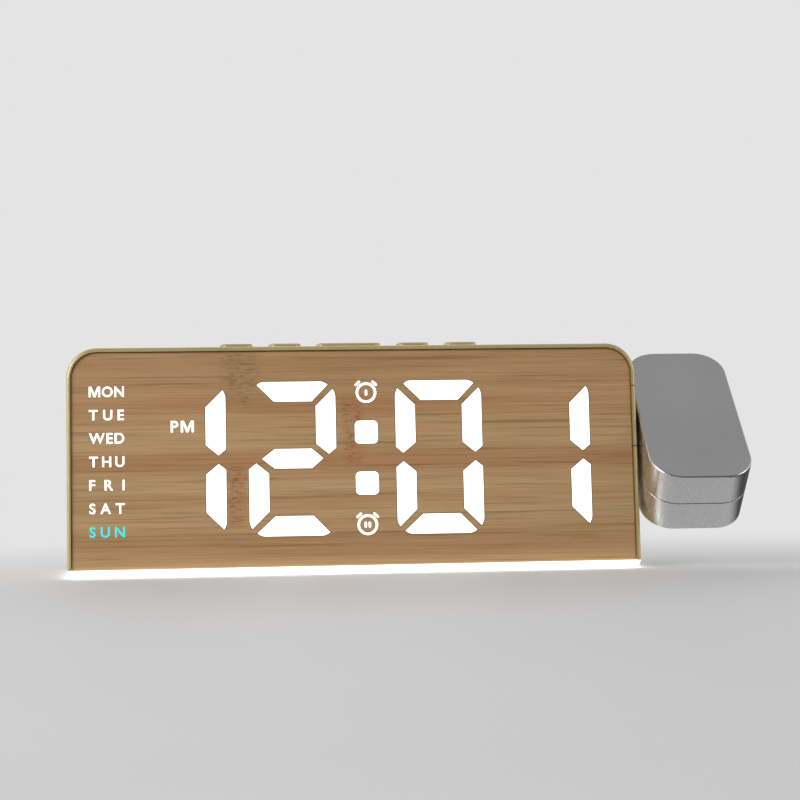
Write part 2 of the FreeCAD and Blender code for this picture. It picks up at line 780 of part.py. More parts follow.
def light_base():
    """Frosted foot that glows along its edge, with a lip inside the sleeve."""
    plate = Part.makeLoft([foot_outline(MAT_PROUD, BASE_TAPER), foot_outline(BASE_TOP, 0)], True, True)
    lip = lip_form(0, BASE_TOP - 0.1, BASE_TOP + BASE_LIP_H)
    lip = lip.cut(lip_form(BASE_LIP_T, BASE_TOP - 1, BASE_TOP + BASE_LIP_H + 1))
    reach = NIGHT_BOARD_L / 2 - NIGHT_BOARD_END
    posts = [faceted_z(BOARD_POST_R, BASE_TOP - 0.1, NIGHT_BOARD_Z, x, 0) for x in (-reach, 0, reach)]
    cuts = [mat_outline(MAT_PROUD - 1, MAT_T)]
    for x in base_screw_places():
        edge = math.copysign(SIDE_X, x)
        cuts.append(faceted_z(POST_R + FIT, BASE_TOP, BASE_TOP + 20, x, 0))
        cuts.append(box(min(x, edge), max(x, edge), -1 - FIT, 1 + FIT, BASE_TOP, BASE_TOP + 20))
        cuts.append(faceted_z(SCREW_R, 0, BASE_TOP + 1, x, 0))
        cuts.append(faceted_z(SCREW_HEAD_R + FIT, 0, MAT_PROUD + 1.0, x, 0))
    for x, s in cover_screw_places():
        cuts.append(on_rear(faceted(POST_R + FIT, -COVER_BACK - COVER_POST_L - FIT, 0, x, s)))
    return fused([plate, lip] + posts).cut(cuts)


def lip_form(inset, z0, z1):
    return body_form(WALL + FIT + inset, LEDGE_BACK + SEAT + inset, COVER_BACK + SEAT + inset, z0, z1)


def mat_outline(z0, z1):
    return stadium(0, 0, MAT_L, MAT_D, z0, z1)


def anti_slip_mat():
    return mat_outline(0, MAT_T)


def base_screws():
    shapes = []
    for x in base_screw_places():
        turned_screw = about_x(screw(6.0), -90)
        shapes.append(moved(turned_screw, x, 0, MAT_PROUD + 1.0))
    return Part.makeCompound(shapes)


def night_light_board():
    half_l = NIGHT_BOARD_L / 2
    half_w = NIGHT_BOARD_W / 2
    return box(-half_l, half_l, -half_w, half_w, NIGHT_BOARD_Z, NIGHT_BOARD_Z + NIGHT_BOARD_T)


def night_light_leds():
    lamps = []
    for i in range(NIGHT_LEDS):
        x = (i + 0.5) * NIGHT_BOARD_L / NIGHT_LEDS - NIGHT_BOARD_L / 2
        lamps.append(box(x - 1.75, x + 1.75, -1.4, 1.4, NIGHT_BOARD_Z - 1.0, NIGHT_BOARD_Z))
    return Part.makeCompound(lamps)


def rear_cover():
    """Rear plate with the speaker grille, the port holes and the coin-cell cup."""
    plate = body_form(WALL + FIT, -FAR, COVER_RECESS, BASE_TOP + FIT).cut(
        body_form(-5, -FAR, COVER_BACK, -20, BODY_H + 30))
    ring = rod_y(SPEAKER_R + 1.6, -COVER_BACK - 4, -COVER_BACK + 0.1, SPEAKER_X, SPEAKER_S)
    ring = ring.cut(rod_y(SPEAKER_R + FIT, -COVER_BACK - 5, -COVER_BACK, SPEAKER_X, SPEAKER_S))
    cup_depth = DOOR_T + COIN_T + 1.2
    cup_back = -COVER_RECESS - cup_depth - CUP_WALL
    cup = rod_y(COIN_R + COIN_GAP + CUP_WALL, cup_back, -COVER_BACK + 0.1, CELL_X, CELL_S)
    door_post = faceted(POST_R, cup_back, -COVER_BACK + 0.1, CELL_X + DOOR_SCREW_OFFSET, CELL_S)
    added = [on_rear(ring), on_rear(cup), on_rear(door_post)]
    cuts = [on_rear(rod_y(COIN_R + COIN_GAP, cup_back + CUP_WALL, 1, CELL_X, CELL_S))]
    cuts.append(on_rear(door_plate(FIT, -COVER_RECESS - DOOR_T - 0.05, 1)))
    cuts.append(on_rear(faceted(SCREW_R + SLIDE_FIT, cup_back + 1, 0, CELL_X + DOOR_SCREW_OFFSET, CELL_S)))
    cuts.append(on_rear(finger_notch()))
    for x, s in main_board_posts():
        post = faceted(BOARD_POST_R, -MAIN_BOARD_DEPTH, -COVER_BACK + 0.1, x, s)
        added.append(on_rear(post))
        cuts.append(on_rear(faceted(SMALL_SCREW_R, -MAIN_BOARD_DEPTH - 1, -MAIN_BOARD_DEPTH + 5, x, s)))
    for x, s in cover_screw_places():
        cuts.append(on_rear(faceted(SCREW_R, -COVER_BACK - 1, 1, x, s)))
        cuts.append(on_rear(faceted(SCREW_HEAD_R + FIT, -COVER_RECESS - SCREW_HEAD_T - 0.1, 1, x, s)))
    cuts.append(on_rear(port_hole(USB_A_X, USB_A, FIT)))
    cuts.append(on_rear(port_hole(USB_C_X, USB_C, FIT)))
    cuts += [on_rear(slot) for slot in grille_slots()]
    return fused([plate] + added).cut(cuts)


def finger_notch():
    """Round notch across the door's free edge, to lift it by."""
    return rod_y(NOTCH_R, -COVER_RECESS - NOTCH_DEPTH, 1, CELL_X - DOOR_EDGE, CELL_S)


def door_plate(clearance, y0, y1):
    left = CELL_X - DOOR_EDGE - clearance
    right = left + DOOR_W + 2 * clearance
    half = DOOR_H / 2 + clearance
    corners = [(left, CELL_S - half), (right, CELL_S - half), (right, CELL_S + half), (left, CELL_S + half)]
    return rounded_bar(corners, 2.0 + clearance, y0, y1)


def main_board_posts():
    half_w = MAIN_BOARD_W / 2 - 3
    half_h = MAIN_BOARD_H / 2 - 3
    return [(MAIN_BOARD_X + i * half_w, MAIN_BOARD_S + j * half_h) for i in (-1, 1) for j in (-1, 1)]


def port_hole(x, size, clearance):
    width, height, corner_r = size
    corners = rectangle(x, USB_S, width + 2 * clearance, height + 2 * clearance)
    return rounded_bar(corners, corner_r + clearance, -COVER_BACK - 1, 1)


def grille_slots():
    """Upright slots that end on one circle."""
    slots = []
    count = int(GRILLE_R / GRILLE_PITCH)
    for i in range(-count, count + 1):
        x = SPEAKER_X + i * GRILLE_PITCH
        half = math.sqrt(GRILLE_R ** 2 - (i * GRILLE_PITCH) ** 2)
        slots.append(bar(slot_outline(x, SPEAKER_S, GRILLE_SLOT, 2 * half), -COVER_BACK - 1, 1))
    return slots


def slot_outline(x, z, width, height):
    """An upright rectangle with its corners cut."""
    half_w, half_h = width / 2, height / 2
    cut = width * 0.3
    corner = [(half_w - cut, half_h), (half_w, half_h - cut)]
    right = corner + [(a, -b) for a, b in reversed(corner)]
    return [(x + a, z + b) for a, b in right] + [(x - a, z + b) for a, b in reversed(right)]


def rear_screws():
    shapes = []
    for x, s in cover_screw_places():
        shapes.append(on_rear(moved(screw(8.0), x, -COVER_RECESS - SCREW_HEAD_T - 0.1, s)))
    return Part.makeCompound(shapes)


def battery_door():
    plate = door_plate(0, -COVER_RECESS - DOOR_T + SLIDE_FIT, -COVER_RECESS)
    x = CELL_X + DOOR_SCREW_OFFSET
    hole = faceted(SCREW_R, -FAR, 1, x, CELL_S)
    seat = faceted(SCREW_HEAD_R + FIT, -COVER_RECESS - DOOR_SCREW_SEAT, 1, x, CELL_S)
    return on_rear(plate.cut([hole, seat, finger_notch()]))


def battery_door_screw():
    x = CELL_X + DOOR_SCREW_OFFSET
    return on_rear(moved(screw(DOOR_SCREW_L), x, -COVER_RECESS - DOOR_SCREW_SEAT, CELL_S))


def coin_cell():
    """Button cell with its smaller negative cap towards the cup's floor."""
    face = -COVER_RECESS - DOOR_T - 0.5
    can = rod_y(COIN_R, face - COIN_T + 0.8, face, CELL_X, CELL_S)
    cap = rod_y(COIN_R - 1.2, face - COIN_T, face - COIN_T + 0.9, CELL_X, CELL_S)
    return on_rear(can.fuse(cap).removeSplitter())


def cell_contacts():
    """Spring leaf under the cell and a leaf against its side."""
    floor = -COVER_RECESS - DOOR_T - COIN_T - 1.2
    leaf = prism([
        (CELL_X - 7, floor, CELL_S - 2), (CELL_X - 7, floor + 0.3, CELL_S - 2),
        (CELL_X, floor + 0.7, CELL_S - 2), (CELL_X + 7, floor + 0.3, CELL_S - 2),
        (CELL_X + 7, floor, CELL_S - 2), (CELL_X, floor + 0.4, CELL_S - 2),
    ], Vector(0, 0, 4))
    side_s = CELL_S + COIN_R + SHAFT_FIT
    side = box(CELL_X - 0.9, CELL_X + 0.9, floor, floor + COIN_T + 0.4, side_s, side_s + LEAF_T)
    return Part.makeCompound([on_rear(leaf), on_rear(side)])


def speaker_frame():
    base = -COVER_BACK
    profile = [
        (SPEAKER_R - SPEAKER_RIM, base), (SPEAKER_R, base),
        (BASKET_R, base - SPEAKER_H), (POLE_R, base - SPEAKER_H),
        (POLE_R, base - SPEAKER_H + 1), (BASKET_R - 1, base - SPEAKER_H + 1),
    ]
    return on_rear(moved(turned(profile), SPEAKER_X, 0, SPEAKER_S))


def speaker_magnet():
    base = -COVER_BACK - SPEAKER_H
    return on_rear(rod_y(MAGNET_R, base - MAGNET_T, base, SPEAKER_X, SPEAKER_S))


def speaker_cone():
    base = -COVER_BACK
    profile = [
        (0, base - CONE_DEPTH - CONE_T), (CONE_CAP_R, base - CONE_DEPTH - CONE_T),
        (CONE_R - 0.2, base - 0.5 - CONE_T), (CONE_R, base - 0.5),
        (CONE_CAP_R, base - CONE_DEPTH), (0, base - CONE_DEPTH),
    ]
    return on_rear(moved(turned(profile), SPEAKER_X, 0, SPEAKER_S))


def main_board():
    half_w = MAIN_BOARD_W / 2
    half_h = MAIN_BOARD_H / 2
    board = box(MAIN_BOARD_X - half_w, MAIN_BOARD_X + half_w,
                -MAIN_BOARD_DEPTH - BOARD_T, -MAIN_BOARD_DEPTH,
                MAIN_BOARD_S - half_h, MAIN_BOARD_S + half_h)
    holes = [faceted(SMALL_SCREW_R, -FAR, FAR, x, s) for x, s in main_board_posts()]
    return on_rear(board.cut(holes))


def main_board_screws():
    shapes = []
    for x, s in main_board_posts():
        flipped = about_x(screw(BOARD_T + 3, SMALL_HEAD_R, SMALL_SCREW_R), 180)
        shapes.append(on_rear(moved(flipped, x, -MAIN_BOARD_DEPTH - BOARD_T, s)))
    return Part.makeCompound(shapes)


def main_board_chips():
    """Clock chip, display driver, crystal and capacitor on the board's inner face."""
    face = -MAIN_BOARD_DEPTH - BOARD_T
    x, s = MAIN_BOARD_X, MAIN_BOARD_S
    parts = [
        box(x - 5, x + 5, face - 1.6, face, s - 5, s + 5),
        box(x - 17, x - 9, face - 1.4, face, s - 4, s + 4),
        rod_y(3.1, face - 7, face, x + 12, s + 2),
        box(x + 9, x + 15, face - 1.8, face, s - 7, s - 4.5),
    ]
    return Part.makeCompound([on_rear(part) for part in parts])


def usb_socket(x, size, wall, tongue):
    """Metal shell open to the rear, with a contact tongue on its floor block."""
    mouth = -COVER_RECESS - 0.2
    floor = -MAIN_BOARD_DEPTH
    width, height, corner_r = size
    tongue_w, tongue_h, tongue_up = tongue
    shell = rounded_bar(rectangle(x, USB_S, width, height), corner_r, floor, mouth)
    inner = rectangle(x, USB_S, width - 2 * wall, height - 2 * wall)
    bore = rounded_bar(inner, max(corner_r - wall, 0.15), floor + 1.5, mouth + 1)
    block = bar(rectangle(x, USB_S + tongue_up, tongue_w, tongue_h), floor + 1, mouth - 1)
    return on_rear(shell.cut(bore).fuse(block).removeSplitter())


def usb_c_socket():
    return usb_socket(USB_C_X, USB_C, USB_WALL_C, (6.6, 0.7, 0.0))


def usb_a_socket():
    return usb_socket(USB_A_X, USB_A, USB_WALL_A, (11.4, 1.6, 1.2))


def button(x, length):
    """Cap with a crowned edge, a flange that keeps it in the wall, and a stem to its switch."""
    cap = stadium(x, BUTTON_Y, length, BUTTON_W, TOP_UNDER - SEAT / 2, BODY_H + BUTTON_PROUD)
    top = BODY_H + BUTTON_PROUD
    rim = edges_where(cap, lambda edge: lies_on(edge, lambda p: p.z - top))
    cap = cap.makeChamfer(BUTTON_CROWN, rim)
    flange_top = TOP_UNDER - SEAT / 2
    half_l = length / 2 + BUTTON_FLANGE_W
    half_w = BUTTON_W / 2 + BUTTON_FLANGE_W
    flange = box(x - half_l, x + half_l, BUTTON_Y - half_w, BUTTON_Y + half_w,
                 flange_top - BUTTON_FLANGE_T, flange_top)
    stem = faceted_z(BUTTON_STEM_R, flange_top - BUTTON_FLANGE_T - BUTTON_STEM_L, flange_top, x, BUTTON_Y)
    return fused([cap, flange, stem])


def button_switches():
    shapes = []
    half = SWITCH_W / 2
    for name, x, length in BUTTONS:
        body = box(x - half, x + half, BUTTON_Y - half, BUTTON_Y + half, BUTTON_BOARD_TOP, SWITCH_TOP)
        well = faceted_z(BUTTON_STEM_R + FIT, BUTTON_BOARD_TOP + 0.8, SWITCH_TOP + 1, x, BUTTON_Y)
        shapes.append(body.cut(well))
    return Part.makeCompound(shapes)


def button_board():
    left = BUTTONS[0][1] - SWITCH_W
    right = BUTTONS[-1][1] + SWITCH_W
    board = box(left, right, BUTTON_Y - BUTTON_BOARD_W / 2, BUTTON_Y + BUTTON_BOARD_W / 2,
                BUTTON_BOARD_TOP - BUTTON_BOARD_T, BUTTON_BOARD_TOP)
    return board.cut([faceted_z(SMALL_SCREW_R, 0, FAR, x, BUTTON_Y) for x in button_post_places()])


def button_board_screws():
    shapes = []
    for x in button_post_places():
        upright = about_x(screw(BUTTON_BOARD_T + 3, SMALL_HEAD_R, SMALL_SCREW_R), -90)
        shapes.append(moved(upright, x, BUTTON_Y, BUTTON_BOARD_TOP - BUTTON_BOARD_T))
    return Part.makeCompound(shapes)


def arm_form(inset, z0, z1):
    """The arm's rounded plan about the pivot, with the lens end towards +Y."""
    half = ARM_W / 2 - inset
    front = LENS_END - inset
    tail = -ARM_TAIL + inset
    corners = [(-half, tail), (half, tail), (half, front), (-half, front)]
    wire = rounded_outline(corners, ARM_CORNER_R - inset, lambda x, y: Vector(x, y, z0))
    return Part.Face(wire).extrude(Vector(0, 0, z1 - z0))


def arm_post_places():
    """Two posts beside the barrel and one against the tail wall."""
    beside = BARREL_R + POST_R + 0.9
    return ((-beside, LENS_END - 7), (beside, LENS_END - 7), (0, -ARM_TAIL + ARM_WALL + 2))


def shaft_hole(radius):
    return rod_x(radius, -ARM_W, 0)


def half_shell(side):
    """One half of the arm's case: side +1 is the broad upper face, -1 the underside."""
    half_t = ARM_T / 2
    solid = arm_form(0, 0, half_t)
    outer_edges = edges_where(solid, lambda edge: lies_on(edge, lambda p: p.z - half_t))
    solid = solid.makeFillet(ARM_EDGE_R, outer_edges)
    seam_edges = edges_where(solid, lambda edge: lies_on(edge, lambda p: p.z))
    solid = solid.makeChamfer(SEAM, seam_edges)
    shell = solid.cut(arm_form(ARM_WALL, -1, half_t - ARM_WALL))
    inner_t = half_t - ARM_WALL
    saddles = []
    for y in (BARREL_REAR + 2, BARREL_REAR + HOLDER_L - 3):
        saddles.append(box(-HOLDER_W / 2 + 1, HOLDER_W / 2 - 1, y, y + 1.2, HOLDER_T / 2, inner_t + 0.1))
    posts = [faceted_z(ARM_POST_R, 0, inner_t + 0.1, x, y) for x, y in arm_post_places()]
    shell = fused([shell] + saddles + posts)
    shell = shell.cut([shaft_hole(SHAFT_R), rod_y(FOCUS_RING_R + SEAT, LENS_END - 4, LENS_END + 1)])
    return shell if side > 0 else turned_over(shell)


def turned_over(shape):
    """The same half seen from below: mirrored through the seam plane."""
    return shape.mirror(ORIGIN, Z_AXIS)


def tongue():
    """Ring inside the seam that locates the two halves."""
    inset = ARM_WALL - SEAM_TONGUE
    ring = arm_form(inset, -0.1, SEAM_TONGUE).cut(arm_form(ARM_WALL, -1, 2))
    return ring.cut([shaft_hole(SHAFT_R + 1), rod_y(FOCUS_RING_R + 1, LENS_END - 4, LENS_END + 1)])


def groove():
    inset = ARM_WALL - SEAM_TONGUE - FIT
    return arm_form(inset, -0.1, SEAM_TONGUE + FIT).cut(arm_form(ARM_WALL + SLIDE_FIT, -1, 2))


def arm_upper_shell():
    shell = half_shell(1).cut(groove())
    holes = [faceted_z(SCREW_R, -1, ARM_T / 2 - ARM_WALL - 1, x, y) for x, y in arm_post_places()]
    return on_arm(shell.cut(holes))


def arm_lower_shell():
    shell = half_shell(-1).fuse(tongue()).removeSplitter()
    holes = []
    for x, y in arm_post_places():
        holes.append(faceted_z(SCREW_R, -ARM_T, 1, x, y))
        holes.append(faceted_z(SCREW_HEAD_R + FIT, -ARM_T, -ARM_T / 2 + SCREW_HEAD_T + 0.4, x, y))
    for x, y in driver_post_places():
        shell = shell.fuse(faceted_z(BOARD_POST_R, -ARM_T / 2 + ARM_WALL - 0.1, DRIVER_Z, x, y))
    return on_arm(shell.cut(holes).removeSplitter())


def arm_screws():
    shapes = []
    for x, y in arm_post_places():
        upright_screw = about_x(screw(ARM_T / 2 + 4), -90)
        shapes.append(on_arm(moved(upright_screw, x, y, -ARM_T / 2 + SCREW_HEAD_T + 0.4)))
    return Part.makeCompound(shapes)


def driver_post_places():
    half_w = DRIVER_W / 2 - 2.5
    return [(i * half_w, DRIVER_Y + j * (DRIVER_L / 2 - 2.5)) for i in (-1, 1) for j in (-1, 1)]


def projector_driver_board():
    board = box(-DRIVER_W / 2, DRIVER_W / 2, DRIVER_Y - DRIVER_L / 2, DRIVER_Y + DRIVER_L / 2,
                DRIVER_Z, DRIVER_Z + BUTTON_BOARD_T)
    return on_arm(board)


def projector_driver_chips():
    face = DRIVER_Z + BUTTON_BOARD_T
    chips = [
        box(-4, 4, DRIVER_Y - 5, DRIVER_Y + 3, face, face + 1.4),
        box(-9, -6, DRIVER_Y - 4, DRIVER_Y + 4, face, face + 4.5),
        box(6.5, 9, DRIVER_Y - 1, DRIVER_Y + 4, face, face + 1.0),
    ]
    return Part.makeCompound([on_arm(chip) for chip in chips])


def centred_block(width, height, y0, y1):
    """A block about the optical axis."""
    return box(-width / 2, width / 2, y0, y1, -height / 2, height / 2)


def lens_barrel():
    """Fixed tube with two straight keyways, and the square holder for the slide and condenser."""
    tube = rod_y(BARREL_R, BARREL_REAR + HOLDER_L - 0.1, BARREL_FRONT)
    holder = centred_block(HOLDER_W, HOLDER_T, BARREL_REAR, BARREL_REAR + HOLDER_L)
    bore = rod_y(BARREL_BORE_R, BARREL_REAR - 1, BARREL_FRONT + 1)
    width, thickness, height = SLIDE_SIZE
    slide_y = slide_place()
    pocket = centred_block(width + 2 * SLIDE_FIT, height + 2 * SLIDE_FIT,
                           slide_y - SLIDE_FIT, slide_y + thickness + SLIDE_FIT)
    key_y = key_place()
    keyway = box(-ARM_W, ARM_W, key_y - FOCUS_TRAVEL - SEAT, key_y + KEY_L + FOCUS_TRAVEL + SEAT,
                 -KEY_W / 2 - SLIDE_FIT, KEY_W / 2 + SLIDE_FIT)
    return on_arm(fused([tube, holder]).cut([bore, pocket, keyway]))


def slide_place():
    return BARREL_REAR + HOLDER_L - 3.2


def cell_front():
    return LENS_END + FOCUS_PROUD - FOCUS_TRAVEL - LENS_CELL_FRONT


def cell_rear():
    return cell_front() - LENS_CELL_L


def key_place():
    return cell_rear() + 1.0


def focus_ring():
    """Knurled grip outside the end wall, a flange behind it and a sleeve round the lens cell."""
    front = LENS_END + FOCUS_PROUD
    back = FOCUS_FLANGE_Y - FOCUS_FLANGE_T
    sleeve_r = LENS_CELL_R + SLIDE_FIT + SLEEVE_WALL
    bore = LENS_CELL_R + SLIDE_FIT
    ring = turned([
        (bore, back - FOCUS_SLEEVE_L), (sleeve_r, back - FOCUS_SLEEVE_L), (sleeve_r, back),
        (FOCUS_FLANGE_R, back), (FOCUS_FLANGE_R, FOCUS_FLANGE_Y), (FOCUS_RING_R, FOCUS_FLANGE_Y),
        (FOCUS_RING_R, front - 0.3), (FOCUS_RING_R - 0.3, front), (bore + 0.6, front), (bore, front - 0.6),
    ])
    flutes = []
    for i in range(FOCUS_KNURLS):
        angle = 2 * math.pi * i / FOCUS_KNURLS
        reach = FOCUS_RING_R + 0.25
        x, z = reach * math.cos(angle), reach * math.sin(angle)
        flutes.append(faceted(0.55, LENS_END + 0.1, front + 1, x, z, sides=4))
    return on_arm(ring.cut(flutes))


def lens_cell():
    """Tube that the focus ring drives along the barrel, kept from turning by two keys."""
    front, rear = cell_front(), cell_rear()
    tube = rod_y(LENS_CELL_R, rear, front)
    keys = box(-BARREL_R + 0.6, BARREL_R - 0.6, key_place(), key_place() + KEY_L, -KEY_W / 2, KEY_W / 2)
    cuts = [rod_y(LENS_CELL_BORE_R - 0.8, rear - 1, front + 1),
            rod_y(LENS_CELL_BORE_R, front - 0.8 - LENS_T, front + 1)]
    return on_arm(fused([tube, keys]).cut(cuts))


def lens_solid(radius, y0, y1, bulge):
    """Flat face at y0, a spherical face that reaches y1 on the axis."""
    ball_r = (radius ** 2 + bulge ** 2) / (2 * bulge)
    ball = Part.makeSphere(ball_r, Vector(0, y1 - ball_r, 0))
    return rod_y(radius, y0, y1).common(ball)


def projection_lens():
    front = cell_front() - 0.8
    return on_arm(lens_solid(LENS_CELL_BORE_R, front - LENS_T, front, 1.3))


def condenser_lens():
    flat = BARREL_REAR + 0.8
    return on_arm(lens_solid(BARREL_BORE_R - SHAFT_FIT, flat, flat + CONDENSER_T, 1.8))


def lcd_slide():
    width, thickness, height = SLIDE_SIZE
    return on_arm(centred_block(width, height, slide_place(), slide_place() + thickness))


def projector_led_board():
    return on_arm(centred_block(HOLDER_W, HOLDER_T, BARREL_REAR - LED_BOARD_T, BARREL_REAR))


def projector_led():
    """Square lamp body with a small dome."""
    body = box(-1.75, 1.75, BARREL_REAR, BARREL_REAR + 0.35, -1.75, 1.75)
    dome = Part.makeSphere(1.2, Vector(0, BARREL_REAR, 0)).common(box(-2, 2, BARREL_REAR + 0.1, 40, -2, 2))
    dome = dome.common(box(-2, 2, -FAR, BARREL_REAR + 0.7, -2, 2))
    return on_arm(fused([body, dome]))


SUB_PARTS = {
    "housing": housing,
    "hinge_block": hinge_block,
    "hinge_block_screws": hinge_block_screws,
    "rear_cover": rear_cover,
    "rear_screws": rear_screws,
    "front_panel": front_panel,
    "lit_segments": lit_segments,
    "display_reflector": display_reflector,
    "display_board": display_board,
    "segment_leds": segment_leds,
    "display_screws": display_screws,
    "light_base": light_base,
    "base_screws": base_screws,
    "anti_slip_mat": anti_slip_mat,
    "night_light_board": night_light_board,
    "night_light_leds": night_light_leds,
    "main_board": main_board,
    "main_board_chips": main_board_chips,
    "main_board_screws": main_board_screws,
    "usb_c_socket": usb_c_socket,
    "usb_a_socket": usb_a_socket,
    "battery_door": battery_door,
    "battery_door_screw": battery_door_screw,
    "coin_cell": coin_cell,
    "cell_contacts": cell_contacts,
    "speaker_frame": speaker_frame,
    "speaker_magnet": speaker_magnet,
    "speaker_cone": speaker_cone,
    "button_board": button_board,
    "button_switches": button_switches,
    "button_board_screws": button_board_screws,
    "pivot_bush": pivot_bush,
    "friction_washer": friction_washer,
    "pivot_shaft": pivot_shaft,
    "pivot_retainer": pivot_retainer,
    "projector_cable": projector_cable,
    "arm_upper_shell": arm_upper_shell,
    "arm_lower_shell": arm_lower_shell,
    "arm_screws": arm_screws,
    "projector_driver_board": projector_driver_board,
    "projector_driver_chips": projector_driver_chips,
    "lens_barrel": lens_barrel,
    "focus_ring": focus_ring,
    "lens_cell": lens_cell,
    "projection_lens": projection_lens,
    "condenser_lens": condenser_lens,
    "lcd_slide": lcd_slide,
    "projector_led_board": projector_led_board,
    "projector_led": projector_led,
}


def main():
    os.makedirs("parts", exist_ok=True)
    for name, make in SUB_PARTS.items():
        make().exportStep(f"parts/{name}.step")
    for name, x, length in BUTTONS:
        button(x, length).exportStep(f"parts/{name}.step")


main()
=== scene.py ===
import math

import bmesh
import bpy
from mathutils import Matrix, Vector


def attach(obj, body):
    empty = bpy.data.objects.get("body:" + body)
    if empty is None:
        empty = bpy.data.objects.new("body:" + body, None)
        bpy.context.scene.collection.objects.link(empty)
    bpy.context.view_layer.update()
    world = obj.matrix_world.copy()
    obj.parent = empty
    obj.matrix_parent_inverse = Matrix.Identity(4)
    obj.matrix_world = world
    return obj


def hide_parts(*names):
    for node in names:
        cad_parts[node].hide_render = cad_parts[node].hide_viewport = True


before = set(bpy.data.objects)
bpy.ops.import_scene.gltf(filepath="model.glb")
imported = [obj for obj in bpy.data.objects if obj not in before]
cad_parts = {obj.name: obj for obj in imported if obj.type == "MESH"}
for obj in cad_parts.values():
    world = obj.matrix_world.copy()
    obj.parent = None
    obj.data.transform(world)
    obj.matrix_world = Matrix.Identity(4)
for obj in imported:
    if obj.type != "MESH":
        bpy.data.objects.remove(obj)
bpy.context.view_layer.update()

# Projection alarm clock. X runs along the body, Y away from the viewer, Z up. The frame is in
# metres; the sizes below are in millimetres unless said otherwise.
MM = 0.001
LEAN = math.radians(6.0)
FACE_FOOT = Vector((0.0, -21.0 * MM, 0.0))
SIDE_X = 95.0
PANEL_RECESS = 0.8

# Printed layers on the panel, in millimetres proud of it
FILM_PROUD = 0.012
LIT_PROUD = 0.03
LAYER_BACK = FILM_PROUD / 2
SIGN_PROUD = 0.015
SIGN_BACK = 0.02

# Photograph's camera, in metres and radians
CAMERA_PLACE = (-0.05155, -0.68364, 0.05402)
CAMERA_YAW = -0.0993
CAMERA_PITCH = 0.0044
CAMERA_ROLL = 0.0125
CAMERA_FOCAL_PX = 2015.5
PHOTO_SIDE_PX = 800
SENSOR_MM = 36.0

# Shown time, in millimetres along the panel and up it
DIGIT_RIGHTS = (-42.83, -6.36, 42.59, 79.06)
DIGIT_W = 29.25
DIGIT_FOOT = 12.5
DIGIT_MIDDLE = 25.8
SHOWN_DIGITS = ("bc", "abged", "abcdef", "bc")
SEGMENT_EDGE = 0.20
SHOULDER_R = 1.0
COLON_X = 3.65
COLON_S = (46.8, 29.8)
COLON_SIZE = 8.1
COLON_CORNER_R = 1.7

# Signs on the panel; each alarm sign's place along it, up it, and ticks
DAY_NAMES = ("SUN", "SAT", "FRI", "THU", "WED", "TUE", "MON")
DAY_LEFT = -87.7
DAY_RIGHT = -76.2
DAY_FIRST_FOOT = 13.3
DAY_PITCH = 7.7
DAY_CAP = 3.5
PM_LEFT = -61.0
PM_RIGHT = -53.4
PM_FOOT = 47.5
PM_CAP = 3.85
LETTER_BOLD = 0.021
LETTER_GAP = 0.55
ICON_PLACES = ((3.8, 60.0, 1), (3.5, 16.0, 2))
ICON_R = 3.45
ICON_LINE = 0.85
BELL_TURN = math.radians(42)
BELL_REACH = 4.2
BELL_SIZE = (2.3, 0.85)
TICK_SIZE = (0.85, 2.0)
TICK_PITCH = 1.35
STROKE_ROUNDNESS = 0.42

# Painted shade in the hinge block's parting lines on the right wall: middle and height of each
# strip
HINGE_PARTING_SHADES = ((40.6, 0.42), (61.0, 0.26))
PARTING_DEEP = 1.36
PARTING_PROUD = 0.015
FRONT_EDGE_R = 0.9

# Screws that show: node, body, and the way their heads face
REAR_OUT = (0.0, 0.9945, 0.1045)
OUTSIDE_SCREWS = (("rear_screws", "body", REAR_OUT),
                  ("battery_door_screw", "battery_door", REAR_OUT),
                  ("arm_screws", "projector_arm", (0.0, 0.6704, -0.7420)))
HEAD_RIM_DEPTH = 0.03
# Painted shade of each cross drive: a thin dark plate on the head
DRIVE_SHADE_THICK = 0.04
# a cross stroke's length and width, in head radii
CROSS_LONG = 1.25
CROSS_WIDE = 0.30

# Projector arm about its pivot
ARM_W = 34.5
ARM_TAIL = 43.8
ARM_NOSE = 19.0
ARM_CORNER_R = 10.3
ARM_TILT = math.radians(42.1)
ARM_PIVOT = Vector((113.15, 3.0, 50.8))
LENS_MOUTH_R = 8.9
SHAFT_MOUTH_R = 5.4
# Painted shade ring in the arm's seam: inset from the skin, wall and height
SEAM_INSET = 0.05
SEAM_WALL = 0.45
SEAM_HEIGHT = 0.30

# Stage, in metres, with linear tones; a span is where a fade starts and where it is full
FLOOR_HALF = 6.0
FLOOR_FRONT = (0.0, -0.5, 0.0)
HAZE_SPAN = (0.47, 0.67)
HAZE_TONE = (0.775, 0.775, 0.78)
BESIDE_SPAN = (0.140, 0.165)
BESIDE_SHARE = 0.9
BESIDE_TONE = (0.02, 0.02, 0.02)
OVERHEAD_STOPS = ((0.0, 0.775), (0.30, 0.775), (0.75, 0.36))
OVERHEAD_BLUE = 1.005
FRONT_SPAN = (-0.22, -0.70)
FRONT_SHARE = 0.95
FRONT_TONE = (0.05, 0.05, 0.05)
PLAIN_LIGHT = 0.45
# name, place, aim, size and watts of each lamp
LAMPS = (("key", (-1.15, -0.85, 0.75), (0.0, 0.0, 0.04), (0.7, 0.9), 11.0),
         ("fill", (1.5, -0.75, 0.6), (0.0, 0.0, 0.04), (0.8, 0.7), 3.5),
         ("back", (-0.2, 1.1, 0.9), (0.0, 0.0, 0.05), (1.2, 0.6), 3.0))

# Corners of a square about its middle, in order, and how near two points count as one
CORNER_SIGNS = ((-1, -1), (1, -1), (1, 1), (-1, 1))
SAME_PLACE = 1e-4


def face_matrix():
    """From the panel's own plane (x, depth, height up the slope) to the clock."""
    return Matrix.Translation(FACE_FOOT) @ Matrix.Rotation(-LEAN, 4, "X") @ Matrix.Scale(MM, 4)


def node_object(name):
    return bpy.data.objects[name]


# Node building

